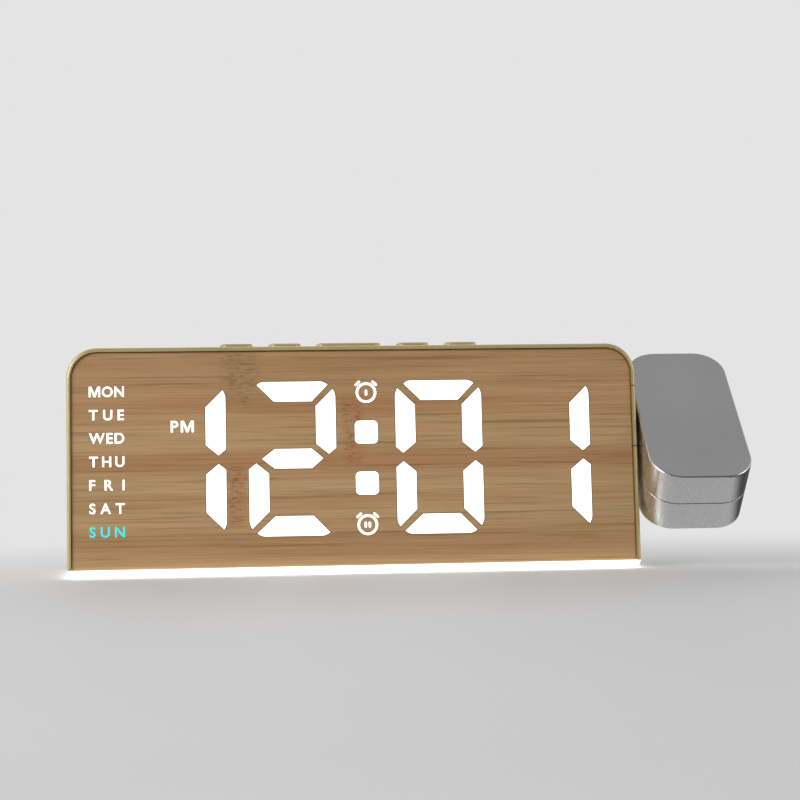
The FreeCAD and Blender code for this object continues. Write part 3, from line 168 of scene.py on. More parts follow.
class Shader:
    """A principled material with short ways to add texture nodes."""

    def __init__(self, name):
        self.material = bpy.data.materials.new(name)
        self.material.use_nodes = True
        self.tree = self.material.node_tree
        self.bsdf = self.tree.nodes["Principled BSDF"]
        self.coords = self.add("ShaderNodeTexCoord").outputs["Object"]

    def add(self, kind, **settings):
        node = self.tree.nodes.new(kind)
        for key, value in settings.items():
            setattr(node, key, value)
        return node

    def link(self, source, target):
        self.tree.links.new(source, target)

    def set(self, **values):
        names = {"color": "Base Color", "metallic": "Metallic", "roughness": "Roughness",
                 "coat": "Coat Weight", "coat_roughness": "Coat Roughness", "ior": "IOR",
                 "transmission": "Transmission Weight", "glow": "Emission Color",
                 "glow_strength": "Emission Strength", "specular": "Specular IOR Level"}
        for key, value in values.items():
            if key in ("color", "glow"):
                value = (*value, 1.0)
            self.bsdf.inputs[names[key]].default_value = value
        return self

    def scaled(self, scale, turn=(0, 0, 0)):
        mapping = self.add("ShaderNodeMapping", vector_type="POINT")
        mapping.inputs["Scale"].default_value = scale
        mapping.inputs["Rotation"].default_value = turn
        self.link(self.coords, mapping.inputs["Vector"])
        return mapping.outputs["Vector"]

    def noise(self, vector, scale, detail=2.0, roughness=0.5, distortion=0.0):
        node = self.add("ShaderNodeTexNoise")
        node.inputs["Scale"].default_value = scale
        node.inputs["Detail"].default_value = detail
        node.inputs["Roughness"].default_value = roughness
        node.inputs["Distortion"].default_value = distortion
        self.link(vector, node.inputs["Vector"])
        return node.outputs["Fac"]

    def ramp(self, fac, stops):
        node = self.add("ShaderNodeValToRGB")
        elements = node.color_ramp.elements
        while len(elements) < len(stops):
            elements.new(0.5)
        for element, (place, color) in zip(elements, stops):
            element.position = place
            element.color = (*color, 1.0)
        self.link(fac, node.inputs["Fac"])
        return node.outputs["Color"]

    def span(self, fac, low, high, out_low=0.0, out_high=1.0):
        node = self.add("ShaderNodeMapRange")
        self.link(fac, node.inputs["Value"])
        limits = {"From Min": low, "From Max": high, "To Min": out_low, "To Max": out_high}
        for key, value in limits.items():
            node.inputs[key].default_value = value
        return node.outputs["Result"]

    def math(self, operation, first, second=0.0):
        node = self.add("ShaderNodeMath", operation=operation)
        for slot, value in zip(node.inputs, (first, second)):
            if isinstance(value, (int, float)):
                slot.default_value = value
            else:
                self.link(value, slot)
        return node.outputs[0]

    def split(self, vector):
        node = self.add("ShaderNodeSeparateXYZ")
        self.link(vector, node.inputs[0])
        return node.outputs

    def mix(self, fac, first, second, blend="MIX"):
        node = self.add("ShaderNodeMix", data_type="RGBA", blend_type=blend)
        for place, value in ((0, fac), (6, first), (7, second)):
            slot = node.inputs[place]
            if isinstance(value, (int, float)):
                slot.default_value = value
            elif isinstance(value, tuple):
                slot.default_value = (*value, 1.0)
            else:
                self.link(value, slot)
        return node.outputs[2]

    def bump(self, height, strength, distance):
        node = self.add("ShaderNodeBump")
        node.inputs["Strength"].default_value = strength
        node.inputs["Distance"].default_value = distance
        self.link(height, node.inputs["Height"])
        self.link(node.outputs["Normal"], self.bsdf.inputs["Normal"])

    def color(self, source):
        self.link(source, self.bsdf.inputs["Base Color"])

    def rough(self, source):
        self.link(source, self.bsdf.inputs["Roughness"])


def champagne_paint():
    """Satin champagne paint over moulded plastic, with a fine pearl grain."""
    s = Shader("champagne_paint").set(metallic=0.45, coat=0.15, coat_roughness=0.3)
    grain = s.noise(s.coords, 2600.0, 3.0, 0.6)
    cloud = s.noise(s.coords, 28.0, 3.0, 0.55)
    base = s.ramp(cloud, [(0.3, (0.65, 0.52, 0.245)), (0.7, (0.72, 0.58, 0.280))])
    pearl = s.ramp(grain, [(0.35, (0.82, 0.82, 0.82)), (0.65, (1.0, 1.0, 1.0))])
    s.color(s.mix(0.6, base, pearl, "MULTIPLY"))
    s.rough(s.span(grain, 0.3, 0.7, 0.30, 0.42))
    s.bump(grain, 0.10, 0.00004)
    return s.material


# Marks on the panel, in metres. Bands: middle up the panel, half height.
RED_BANDS = ((0.0060, 0.0018), (0.0360, 0.0030), (0.0540, 0.0034))
# Joints: middle along the panel and up it, half width, half height, red or not
JOINT_MARKS = ((-0.0397, 0.0243, 0.0042, 0.0115, 1.0), (-0.0378, 0.0625, 0.0080, 0.0110, 0.0),
               (-0.0008, 0.0455, 0.0046, 0.0130, 1.0))


def bamboo_panel():
    """Satin bamboo film: long level fibres in laid strips, with the cane's speckled joints."""
    s = Shader("bamboo_panel").set(coat=0.10, coat_roughness=0.25, specular=0.35)
    turn = (LEAN, 0.0, 0.0)
    level = s.split(s.scaled((1.0, 1.0, 1.0), turn))
    strips = s.noise(s.scaled((3.0, 0.0, 120.0), turn), 1.0, 3.0, 0.55)
    fibres = s.noise(s.scaled((16.0, 0.0, 1250.0), turn), 1.0, 5.0, 0.68, 0.2)
    hair = s.noise(s.scaled((40.0, 0.0, 3200.0), turn), 1.0, 2.0, 0.5)
    tone = s.noise(s.scaled((6.0, 0.0, 60.0), turn), 1.0, 2.0, 0.5)
    base = s.ramp(strips, [(0.28, (0.405, 0.228, 0.100)), (0.45, (0.490, 0.300, 0.143)),
                           (0.60, (0.545, 0.358, 0.180)), (0.78, (0.460, 0.281, 0.132))])
    base = s.mix(s.span(tone, 0.52, 0.70, 0.0, 0.55), base, (0.420, 0.300, 0.135))
    base = s.mix(red_band_mask(s, level, tone), base, (0.455, 0.225, 0.100))
    lines = s.ramp(fibres, [(0.33, (0.60, 0.50, 0.40)), (0.455, (0.96, 0.94, 0.91)),
                            (0.70, (1.07, 1.07, 1.06))])
    grain = s.mix(0.85, base, lines, "MULTIPLY")
    fine = s.ramp(hair, [(0.34, (0.84, 0.80, 0.74)), (0.55, (1.03, 1.03, 1.02))])
    grain = s.mix(0.65, grain, fine, "MULTIPLY")
    s.color(joint_marks(s, level, grain, turn))
    s.rough(s.span(fibres, 0.3, 0.7, 0.46, 0.34))
    s.bump(fibres, 0.12, 0.00005)
    return s.material


def red_band_mask(s, level, tone):
    """Streaky strips of redder cane at a few heights."""
    streaks = s.span(tone, 0.38, 0.60, 0.15, 0.75)
    mask = 0.0
    for height, half in RED_BANDS:
        away = s.math("ABSOLUTE", s.math("SUBTRACT", level[2], height))
        mask = s.math("MAXIMUM", mask, s.span(away, half * 1.5, half * 0.5))
    return s.math("MULTIPLY", mask, streaks)


def joint_marks(s, level, grain, turn):
    """Upright clusters of short specks, where the cane has its joints."""
    specks = s.noise(s.scaled((430.0, 0.0, 2300.0), turn), 1.0, 2.0, 0.55)
    ragged = s.noise(s.scaled((260.0, 0.0, 420.0), turn), 1.0, 2.0, 0.6)
    dark = s.span(specks, 0.51, 0.60)
    for x, height, half_width, half_height, red in JOINT_MARKS:
        across = s.math("ABSOLUTE", s.math("SUBTRACT", level[0], x))
        up = s.math("ABSOLUTE", s.math("SUBTRACT", level[2], height))
        near = s.math("MULTIPLY", s.span(across, half_width, half_width * 0.4),
                      s.span(up, half_height, half_height * 0.75))
        near = s.math("MULTIPLY", near, s.span(ragged, 0.30, 0.50, 0.35, 1.0))
        tint = (0.47, 0.205, 0.090) if red else (0.36, 0.235, 0.100)
        grain = s.mix(s.math("MULTIPLY", near, 0.45), grain, tint)
        speck = (0.235, 0.080, 0.035) if red else (0.20, 0.115, 0.045)
        grain = s.mix(s.math("MULTIPLY", s.math("MULTIPLY", near, dark), 0.6), grain, speck)
    return grain


def brushed_silver():
    """Satin silver skin with a hair-fine lengthwise brush."""
    s = Shader("brushed_silver").set(metallic=1.0)
    brush = s.noise(s.scaled((1500.0, 40.0, 40.0)), 1.0, 2.0, 0.5)
    cloud = s.noise(s.coords, 30.0, 2.0)
    base = s.ramp(cloud, [(0.35, (0.66, 0.665, 0.665)), (0.65, (0.70, 0.705, 0.705))])
    streak = s.ramp(brush, [(0.35, (0.96, 0.96, 0.96)), (0.65, (1.0, 1.0, 1.0))])
    s.color(s.mix(0.3, base, streak, "MULTIPLY"))
    s.rough(s.span(brush, 0.3, 0.7, 0.265, 0.285))
    s.bump(brush, 0.005, 0.00002)
    return s.material


def glowing(name, color, strength, body=(0.9, 0.9, 0.9)):
    s = Shader(name).set(color=body, roughness=0.4, glow=color, glow_strength=strength)
    soft = s.noise(s.coords, 220.0, 2.0)
    s.rough(s.span(soft, 0.3, 0.7, 0.35, 0.5))
    return s.material


def moulded(name, color, low=0.42, high=0.58, grain=1400.0):
    """Moulded plastic with a spark-eroded texture."""
    s = Shader(name)
    skin = s.noise(s.coords, grain, 3.0, 0.6)
    cloud = s.noise(s.coords, 60.0, 2.0)
    dark = tuple(channel * 0.9 for channel in color)
    s.color(s.ramp(cloud, [(0.3, dark), (0.7, color)]))
    s.rough(s.span(skin, 0.3, 0.7, low, high))
    s.bump(skin, 0.15, 0.00005)
    return s.material


def plated(name, color, roughness=0.28):
    """Plated metal with faint turning marks."""
    s = Shader(name).set(metallic=1.0)
    marks = s.noise(s.coords, 900.0, 3.0, 0.7)
    s.color(s.ramp(marks, [(0.3, tuple(channel * 0.85 for channel in color)), (0.7, color)]))
    s.rough(s.span(marks, 0.3, 0.7, roughness - 0.06, roughness + 0.1))
    s.bump(marks, 0.05, 0.00003)
    return s.material


def board_green():
    """Solder mask with a woven ground and pale tracks."""
    s = Shader("board_green").set(coat=0.4, coat_roughness=0.15)
    weave = s.noise(s.scaled((900.0, 900.0, 900.0)), 1.0, 2.0)
    cells = s.add("ShaderNodeTexVoronoi", feature="DISTANCE_TO_EDGE")
    cells.inputs["Scale"].default_value = 240.0
    s.link(s.coords, cells.inputs["Vector"])
    track = s.span(cells.outputs["Distance"], 0.05, 0.09)
    ground = s.ramp(weave, [(0.3, (0.012, 0.10, 0.045)), (0.7, (0.018, 0.13, 0.06))])
    s.color(s.mix(track, (0.04, 0.24, 0.10), ground))
    s.rough(s.span(weave, 0.3, 0.7, 0.3, 0.42))
    s.bump(track, 0.1, 0.00003)
    return s.material


def clear_glass(name):
    s = Shader(name).set(color=(1.0, 1.0, 1.0), transmission=1.0, ior=1.49)
    haze = s.noise(s.coords, 300.0, 2.0)
    s.rough(s.span(haze, 0.3, 0.7, 0.02, 0.05))
    return s.material


def silicone():
    """Dark grippy silicone with moulded dimples."""
    s = Shader("silicone").set(color=(0.03, 0.03, 0.032))
    dots = s.add("ShaderNodeTexVoronoi")
    dots.inputs["Scale"].default_value = 700.0
    dots.inputs["Randomness"].default_value = 0.15
    s.link(s.coords, dots.inputs["Vector"])
    s.rough(s.span(dots.outputs["Distance"], 0.0, 0.5, 0.6, 0.8))
    s.bump(dots.outputs["Distance"], 0.3, 0.0001)
    return s.material


def finishes():
    """Which finish each CAD node wears; returns those the added pieces share."""
    champagne = champagne_paint()
    bamboo = bamboo_panel()
    silver = brushed_silver()
    lit = glowing("lit_white", (1.0, 1.0, 0.99), 1.1)
    black = moulded("black_moulding", (0.022, 0.022, 0.023))
    white = moulded("white_moulding", (0.80, 0.80, 0.78))
    green = board_green()
    steel = plated("plated_steel", (0.58, 0.58, 0.59))
    zinc = plated("zinc_plate", (0.62, 0.62, 0.64), 0.22)
    lamp = moulded("lamp_resin", (0.85, 0.82, 0.55), 0.15, 0.25)
    chips = moulded("chip_resin", (0.02, 0.02, 0.022), 0.5, 0.65)
    nylon = moulded("nylon", (0.82, 0.80, 0.74), 0.35, 0.5)
    plan = {
        champagne: ("housing", "hinge_block", "rear_cover", "battery_door", "set_button",
                    "up_button", "snooze_button", "down_button", "projector_button"),
        bamboo: ("front_panel",),
        lit: ("lit_segments",),
        glowing("base_glow", (0.90, 0.955, 1.0), 2.2): ("light_base",),
        silver: ("arm_upper_shell", "arm_lower_shell"),
        silicone(): ("anti_slip_mat",),
        black: ("lens_barrel", "focus_ring", "lens_cell", "button_switches", "speaker_frame",
                "projector_cable"),
        white: ("display_reflector",),
        green: ("display_board", "night_light_board", "main_board", "button_board",
                "projector_driver_board"),
        lamp: ("segment_leds", "night_light_leds", "projector_led"),
        chips: ("main_board_chips", "projector_driver_chips"),
        steel: ("usb_c_socket", "usb_a_socket", "coin_cell", "cell_contacts", "speaker_magnet",
                "pivot_shaft", "pivot_retainer"),
        zinc: ("hinge_block_screws", "rear_screws", "display_screws", "base_screws",
               "main_board_screws", "button_board_screws", "arm_screws", "battery_door_screw"),
        moulded("cone_paper", (0.03, 0.03, 0.032), 0.7, 0.85, 3000.0): ("speaker_cone",),
        nylon: ("pivot_bush", "friction_washer"),
        clear_glass("lens_glass"): ("projection_lens", "condenser_lens"),
        glowing("lit_slide", (1.0, 0.02, 0.01), 1.5, (0.1, 0.0, 0.0)): ("lcd_slide",),
        plated("bare_aluminium", (0.70, 0.70, 0.72), 0.35): ("projector_led_board",),
    }
    for material, names in plan.items():
        for name in names:
            piece = node_object(name)
            piece.data.materials.clear()
            piece.data.materials.append(material)
    return bamboo, lit


# Making pieces

def new_piece(name, built, matrix, materials, body):
    """A finished piece from a bmesh, with its place in its mesh."""
    mesh = bpy.data.meshes.new(name)
    built.to_mesh(mesh)
    built.free()
    mesh.transform(matrix)
    for material in materials:
        mesh.materials.append(material)
    piece = bpy.data.objects.new(name, mesh)
    bpy.context.scene.collection.objects.link(piece)
    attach(piece, body)
    return piece


def flat_face(built, points, depth):
    """A face in the panel's plane, turned to the viewer."""
    corners = [built.verts.new((x, depth, s)) for x, s in points]
    face = built.faces.new(corners)
    face.normal_update()
    if face.normal.y > 0:
        face.normal_flip()
    return face


def round_corners(built, face, places, radius, segments=4):
    """Rounds those corners of a face that lie at the given places."""
    chosen = [v for v in face.verts
              if any(math.dist((v.co.x, v.co.z), place) < SAME_PLACE for place in places)]
    bmesh.ops.bevel(built, geom=chosen, offset=radius, offset_type="OFFSET", segments=segments,
                    profile=0.5, affect="VERTICES", material=-1)


def extrude(built, faces, way):
    """Grows faces along a way, leaving the old ones where they are."""
    grown = bmesh.ops.extrude_face_region(built, geom=faces)
    risen = [item for item in grown["geom"] if isinstance(item, bmesh.types.BMVert)]
    bmesh.ops.translate(built, verts=risen, vec=way)


def thicken(built, faces, back):
    """Gives flat faces a back and sides, so that the layer is closed."""
    extrude(built, faces, (0, -back, 0))
    bmesh.ops.recalc_face_normals(built, faces=built.faces[:])


def lined(built, face, edge):
    """Keeps the middle of a face lit and gives it a thin dark edge of painted shade."""
    ring = bmesh.ops.inset_individual(built, faces=[face], thickness=edge,
                                      use_even_offset=True)
    for strip in ring["faces"]:
        strip.material_index = 1
    face.material_index = 0


def solid_layer(draw, proud):
    """A closed thin layer from drawn faces; draw(built, depth) adds them."""
    built = bmesh.new()
    draw(built, PANEL_RECESS - proud + LAYER_BACK)
    thicken(built, built.faces[:], LAYER_BACK)
    return built


# Lit time

def mirrored(points, x_axis=None, s_axis=None):
    """An outline turned over about an upright axis, a level one, or both."""
    return [(x if x_axis is None else 2 * x_axis - x, s if s_axis is None else 2 * s_axis - s)
            for x, s in points]


def lit_shapes():
    """Outline of each segment and its rounded shoulders, from the digit's lower left corner."""
    w, m = DIGIT_W, DIGIT_MIDDLE
    top = [(2.75, 50.4), (4.3, 51.6), (25.1, 51.6), (26.95, 50.4), (21.3, 44.6), (8.6, 44.6)]
    right = [(28.3, 49.2), (29.32, 47.2), (29.32, 29.1), (26.7, 26.95), (22.32, 30.55),
             (22.32, 43.3)]
    middle = [(4.15, m), (8.65, m + 3.45), (21.1, m + 3.45), (25.1, m), (21.1, m - 3.45),
              (8.65, m - 3.45)]
    shapes = {"a": (top, top[1:3]), "b": (right, right[1:2]), "g": (middle, [])}
    bottom = [(2.3, 50.4)] + top[1:]
    shapes["d"] = tuple(mirrored(points, None, m) for points in (bottom, bottom[1:3]))
    shapes["c"] = tuple(mirrored(points, None, m) for points in shapes["b"])
    shapes["f"] = tuple(mirrored(points, w / 2, None) for points in shapes["b"])
    shapes["e"] = tuple(mirrored(points, w / 2, None) for points in shapes["c"])
    return shapes


def window_shapes():
    """Openings that the panel has behind the segments, a hair larger."""
    w, h, m = DIGIT_W, 51.5, DIGIT_MIDDLE
    top = [(2.45, h + 0.05), (8.15, 44.35), (w - 8.15, 44.35), (w - 2.45, h + 0.05)]
    right = [(w + 0.05, h - 2.45), (w - 6.85, h - 8.15), (w - 6.85, m + 4.75),
             (w + 0.05, m + 1.15)]
    middle = [(4.25, m), (8.2, m - 3.6), (w - 8.2, m - 3.6), (w - 4.25, m), (w - 8.2, m + 3.6),
              (8.2, m + 3.6)]
    low = mirrored(right, None, m)
    return {"a": top, "b": right, "c": low, "d": mirrored(top, None, h / 2), "g": middle,
            "e": mirrored(low, w / 2, None), "f": mirrored(right, w / 2, None)}


def shown_segments():
    """Each lit segment's letter, with its digit's left edge."""
    for right, letters in zip(DIGIT_RIGHTS, SHOWN_DIGITS):
        for letter in letters:
            yield right - DIGIT_W, letter


def moved(points, x):
    return [(x + px, DIGIT_FOOT + ps) for px, ps in points]


def draw_windows(built, depth):
    shapes = window_shapes()
    for x, letter in shown_segments():
        flat_face(built, moved(shapes[letter], x), depth)


def draw_figures(built, depth):
    shapes = lit_shapes()
    for x, letter in shown_segments():
        outline, shoulders = shapes[letter]
        face = flat_face(built, moved(outline, x), depth)
        round_corners(built, face, moved(shoulders, x), SHOULDER_R)
    half = COLON_SIZE / 2
    for s in COLON_S:
        square = [(COLON_X + i * half, s + j * half) for i, j in CORNER_SIGNS]
        round_corners(built, flat_face(built, square, depth), square, COLON_CORNER_R, 6)
    for face in built.faces[:]:
        lined(built, face, SEGMENT_EDGE)


def shown_time(bamboo, lit):
    """Lit figures printed over the windows, and the film that closes the windows' corners."""
    # Dark ring of painted shade where each lit segment meets its window's edge
    edge = moulded("window_edge_shade", (0.120, 0.085, 0.035), 0.5, 0.6)
    new_piece("window_film", solid_layer(draw_windows, FILM_PROUD), face_matrix(), [bamboo],
              "body")
    figures = new_piece("lit_figures", solid_layer(draw_figures, LIT_PROUD), face_matrix(),
                        [lit, edge], "body")
    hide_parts("lit_segments")


# Signs

def wide_m(cap_height):
    """Block letter M, whose valley the thickened outline would close."""
    w, stem, leg = 1.12, 0.20, 0.27
    outline = [(0, 0), (0, 1), (leg, 1), (w / 2, 0.33), (w - leg, 1), (w, 1), (w, 0),
               (w - stem, 0), (w - stem, 0.70), (w / 2 + 0.09, 0), (w / 2 - 0.09, 0),
               (stem, 0.70), (stem, 0)]
    built = bmesh.new()
    built.faces.new([built.verts.new((x * cap_height, y * cap_height, 0))
                     for x, y in reversed(outline)])
    mesh = bpy.data.meshes.new("letter")
    built.to_mesh(mesh)
    built.free()
    return mesh, w * cap_height


def letter_mesh(letter, cap_height):
    """One letter, flat, with its foot on the line and its left edge at zero."""
    if letter == "M":
        return wide_m(cap_height)
    curve = bpy.data.curves.new("letter", "FONT")
    curve.body = letter
    curve.size = 1.0
    curve.offset = LETTER_BOLD
    holder = bpy.data.objects.new("letter", curve)
    bpy.context.scene.collection.objects.link(holder)
    mesh = bpy.data.meshes.new_from_object(holder)
    bpy.data.objects.remove(holder)
    xs = [vertex.co.x for vertex in mesh.vertices]
    ys = [vertex.co.y for vertex in mesh.vertices]
    scale = cap_height / (max(ys) - min(ys))
    mesh.transform(Matrix.Scale(scale, 4) @ Matrix.Translation((-min(xs), -min(ys), 0)))
    return mesh, (max(xs) - min(xs)) * scale


def lettering(name, text, left, right, foot, cap_height, material):
    """Letters spread evenly between two edges, laid on the panel."""
    parts = [letter_mesh(letter, cap_height) for letter in text]
    total = sum(width for mesh, width in parts)
    room = right - left - LETTER_GAP * (len(parts) - 1)
    squeeze = min(1.0, room / total)
    gap = (right - left - total * squeeze) / (len(parts) - 1)
    built = bmesh.new()
    at = left
    for mesh, width in parts:
        place = Matrix.Translation((at, PANEL_RECESS - SIGN_PROUD, foot))
        place = place @ Matrix.Diagonal((squeeze, 1, 1, 1))
        mesh.transform(place @ Matrix.Rotation(math.pi / 2, 4, "X"))
        built.from_mesh(mesh)
        at += width * squeeze + gap
    bmesh.ops.remove_doubles(built, verts=built.verts[:], dist=1e-5)
    thicken(built, built.faces[:], SIGN_BACK)
    return new_piece(name, built, face_matrix(), [material], "body")


def flat_ring(built, outer, inner, depth):
    """A ring about the middle, in the panel's plane."""
    turn = Matrix.Translation((0, depth, 0)) @ Matrix.Rotation(math.pi / 2, 4, "X")
    circle = bmesh.ops.create_circle(built, cap_ends=True, radius=outer, segments=48,
                                     matrix=turn)
    face = circle["verts"][0].link_faces[0]
    bmesh.ops.inset_individual(built, faces=[face], thickness=outer - inner)
    bmesh.ops.delete(built, geom=[face], context="FACES")


def rounded_stroke(built, x, s, width, height, depth, turn=0.0):
    """A short bar with rounded ends, turned about its own middle."""
    before = set(built.verts)
    corners = [(i * width / 2, j * height / 2) for i, j in CORNER_SIGNS]
    face = flat_face(built, corners, 0.0)
    round_corners(built, face, corners, STROKE_ROUNDNESS * min(width, height))
    fresh = [v for v in built.verts if v not in before]
    place = Matrix.Translation((x, depth, s)) @ Matrix.Rotation(turn, 4, "Y")
    bmesh.ops.transform(built, verts=fresh, matrix=place)


def alarm_sign(name, x, s, ticks, material):
    """Small bell-clock sign: a ring, two bells, and one or two ticks inside."""
    built = bmesh.new()
    depth = PANEL_RECESS - SIGN_PROUD
    for side in (-1, 1):
        angle = side * BELL_TURN
        across, up = BELL_REACH * math.sin(angle), BELL_REACH * math.cos(angle)
        rounded_stroke(built, across, up, *BELL_SIZE, depth, angle)
    for i in range(ticks):
        rounded_stroke(built, (i - (ticks - 1) / 2) * TICK_PITCH, 0.0, *TICK_SIZE, depth)
    flat_ring(built, ICON_R, ICON_R - ICON_LINE, depth)
    bmesh.ops.translate(built, verts=built.verts[:], vec=(x, 0, s))
    thicken(built, built.faces[:], SIGN_BACK)
    return new_piece(name, built, face_matrix(), [material], "body")


def lit_signs():
    white = glowing("sign_white", (1.0, 1.0, 0.95), 0.95)
    cyan = glowing("sign_cyan", (0.035, 0.76, 0.80), 0.98, (0.02, 0.12, 0.13))
    for row, day in enumerate(DAY_NAMES):
        foot = DAY_FIRST_FOOT + row * DAY_PITCH
        material = cyan if row == 0 else white
        lettering(f"day_{day.lower()}", day, DAY_LEFT, DAY_RIGHT, foot, DAY_CAP, material)
    lettering("pm_sign", "PM", PM_LEFT, PM_RIGHT, PM_FOOT, PM_CAP, white)
    for x, s, ticks in ICON_PLACES:
        alarm_sign(f"alarm_sign_{ticks}", x, s, ticks, white)


# Painted shade in the shut lines

def hinge_parting_shade(shadow):
    """Dark strips of painted shade in the level shut lines above and below the hinge block, round
    the wall's front corner.
    """
    rear = max(corner[1] for corner in node_object("hinge_block").bound_box) / MM
    left, right = SIDE_X - PARTING_DEEP, SIDE_X + PARTING_PROUD
    built = bmesh.new()
    for z, height in HINGE_PARTING_SHADES:
        front = FACE_FOOT.y / MM + z * math.tan(LEAN) - PARTING_PROUD
        place = Matrix.Translation(((left + right) / 2, (front + rear) / 2, z))
        place = place @ Matrix.Diagonal((right - left, rear - front, height, 1))
        cube = bmesh.ops.create_cube(built, size=1.0, matrix=place)
        corner = [e for e in {e for v in cube["verts"] for e in v.link_edges}
                  if all(v.co.x > SIDE_X and v.co.y < (front + rear) / 2 for v in e.verts)]
        bmesh.ops.bevel(built, geom=corner, offset=FRONT_EDGE_R, segments=6, profile=0.5,
                        affect="EDGES", material=-1)
    new_piece("hinge_block_parting_shade", built, Matrix.Scale(MM, 4), [shadow], "body")


def arm_seam_shade(shadow):
    """Painted shade in the shut line round the arm: a dark ring, broken at the shaft and at the
    lens mouth.
    """
    built = bmesh.new()
    half_w = ARM_W / 2 - SEAM_INSET
    half_l = (ARM_TAIL + ARM_NOSE) / 2 - SEAM_INSET
    middle = (ARM_NOSE - ARM_TAIL) / 2
    place = Matrix.Translation((0, middle, 0)) @ Matrix.Diagonal((half_w, half_l, 1, 1))
    bmesh.ops.create_grid(built, x_segments=1, y_segments=1, size=1.0, matrix=place)
    bmesh.ops.bevel(built, geom=built.verts[:], offset=ARM_CORNER_R - SEAM_INSET,
                    offset_type="OFFSET", segments=12, profile=0.5, affect="VERTICES",
                    material=-1)
    plate = next(iter(built.faces))
    bmesh.ops.inset_individual(built, faces=[plate], thickness=SEAM_WALL, use_even_offset=True)
    bmesh.ops.delete(built, geom=[plate], context="FACES")
    extrude(built, built.faces[:], (0, 0, SEAM_HEIGHT))
    bmesh.ops.translate(built, verts=built.verts[:], vec=(0, 0, -SEAM_HEIGHT / 2))
    cuts = [((LENS_MOUTH_R, 0, 0), (1, 0, 0)), ((-LENS_MOUTH_R, 0, 0), (1, 0, 0)),
            ((0, SHAFT_MOUTH_R, 0), (0, 1, 0)), ((0, -SHAFT_MOUTH_R, 0), (0, 1, 0))]
    for point, normal in cuts:
        geom = built.verts[:] + built.edges[:] + built.faces[:]
        bmesh.ops.bisect_plane(built, geom=geom, dist=1e-5, plane_co=point, plane_no=normal)
    gone = []
    for face in built.faces:
        at = face.calc_center_median()
        at_lens = abs(at.x) < LENS_MOUTH_R and at.y > 0
        at_shaft = abs(at.y) < SHAFT_MOUTH_R and at.x < 0
        if at_lens or at_shaft:
            gone.append(face)
    bmesh.ops.delete(built, geom=gone, context="FACES")
    bmesh.ops.holes_fill(built, edges=[e for e in built.edges if e.is_boundary], sides=0)
    bmesh.ops.recalc_face_normals(built, faces=built.faces[:])
    place = Matrix.Translation(ARM_PIVOT * MM) @ Matrix.Rotation(ARM_TILT, 4, "X")
    place = place @ Matrix.Scale(MM, 4)
    new_piece("arm_seam_shade", built, place, [shadow], "projector_arm")


# Screws, and the painted shade in their drives

def islands(built):
    """Groups of joined vertices, in the mesh's own order."""
    found = set()
    for first in built.verts:
        if first in found:
            continue
        found.add(first)
        group = [first]
        for vertex in group:
            for edge in vertex.link_edges:
                other = edge.other_vert(vertex)
                if other not in found:
                    found.add(other)
                    group.append(other)
        yield group


def screw_heads(node, outward):
    """Middle and radius of each screw's outer face."""
    built = bmesh.new()
    built.from_mesh(node_object(node).data)
    bmesh.ops.remove_doubles(built, verts=built.verts[:], dist=1e-6)
    for group in islands(built):
        top = max(vertex.co.dot(outward) for vertex in group)
        rim = [vertex.co for vertex in group
               if vertex.co.dot(outward) > top - HEAD_RIM_DEPTH * MM]
        middle = sum(rim, Vector()) / len(rim)
        yield middle, max((point - middle).length for point in rim)
    built.free()


def cross_drive_shade(shadow):
    """Dark crossed plates of painted shade, standing for the drives on the heads of the screws
    that show.
    """
    for node, body, outward in OUTSIDE_SCREWS:
        outward = Vector(outward).normalized()
        built = bmesh.new()
        turn = outward.to_track_quat("Z", "Y").to_matrix().to_4x4()
        for middle, radius in screw_heads(node, outward):
            place = Matrix.Translation(middle) @ turn
            for along, across in ((CROSS_LONG, CROSS_WIDE), (CROSS_WIDE, CROSS_LONG)):
                size = Matrix.Diagonal((along * radius, across * radius, DRIVE_SHADE_THICK * MM, 1))
                bmesh.ops.create_cube(built, size=1.0, matrix=place @ size)
        new_piece(f"{node}_drive_shade", built, Matrix.Identity(4), [shadow], body)


# Stage, light and camera

def combined(tree, operation, first, second):
    """Two values put together by a math node."""
    node = tree.nodes.new("ShaderNodeMath")
    node.operation = operation
    tree.links.new(first, node.inputs[0])
    tree.links.new(second, node.inputs[1])
    return node.outputs[0]


def seen_share(tree):
    """One where a camera, glossy or transmitted ray looks, and nought for light."""
    path = tree.nodes.new("ShaderNodeLightPath")
    share = path.outputs["Is Camera Ray"]
    for name in ("Is Glossy Ray", "Is Transmission Ray"):
        share = combined(tree, "MAXIMUM", share, path.outputs[name])
    return share


def blended(tree, fac, first, second):
    """Two shaders mixed by a value."""
    node = tree.nodes.new("ShaderNodeMixShader")
    for place, source in enumerate((fac, first, second)):
        tree.links.new(source, node.inputs[place])
    return node.outputs[0]


def plain_emission(tree, tone):
    node = tree.nodes.new("ShaderNodeEmission")
    node.inputs["Color"].default_value = (*tone, 1.0)
    return node.outputs[0]


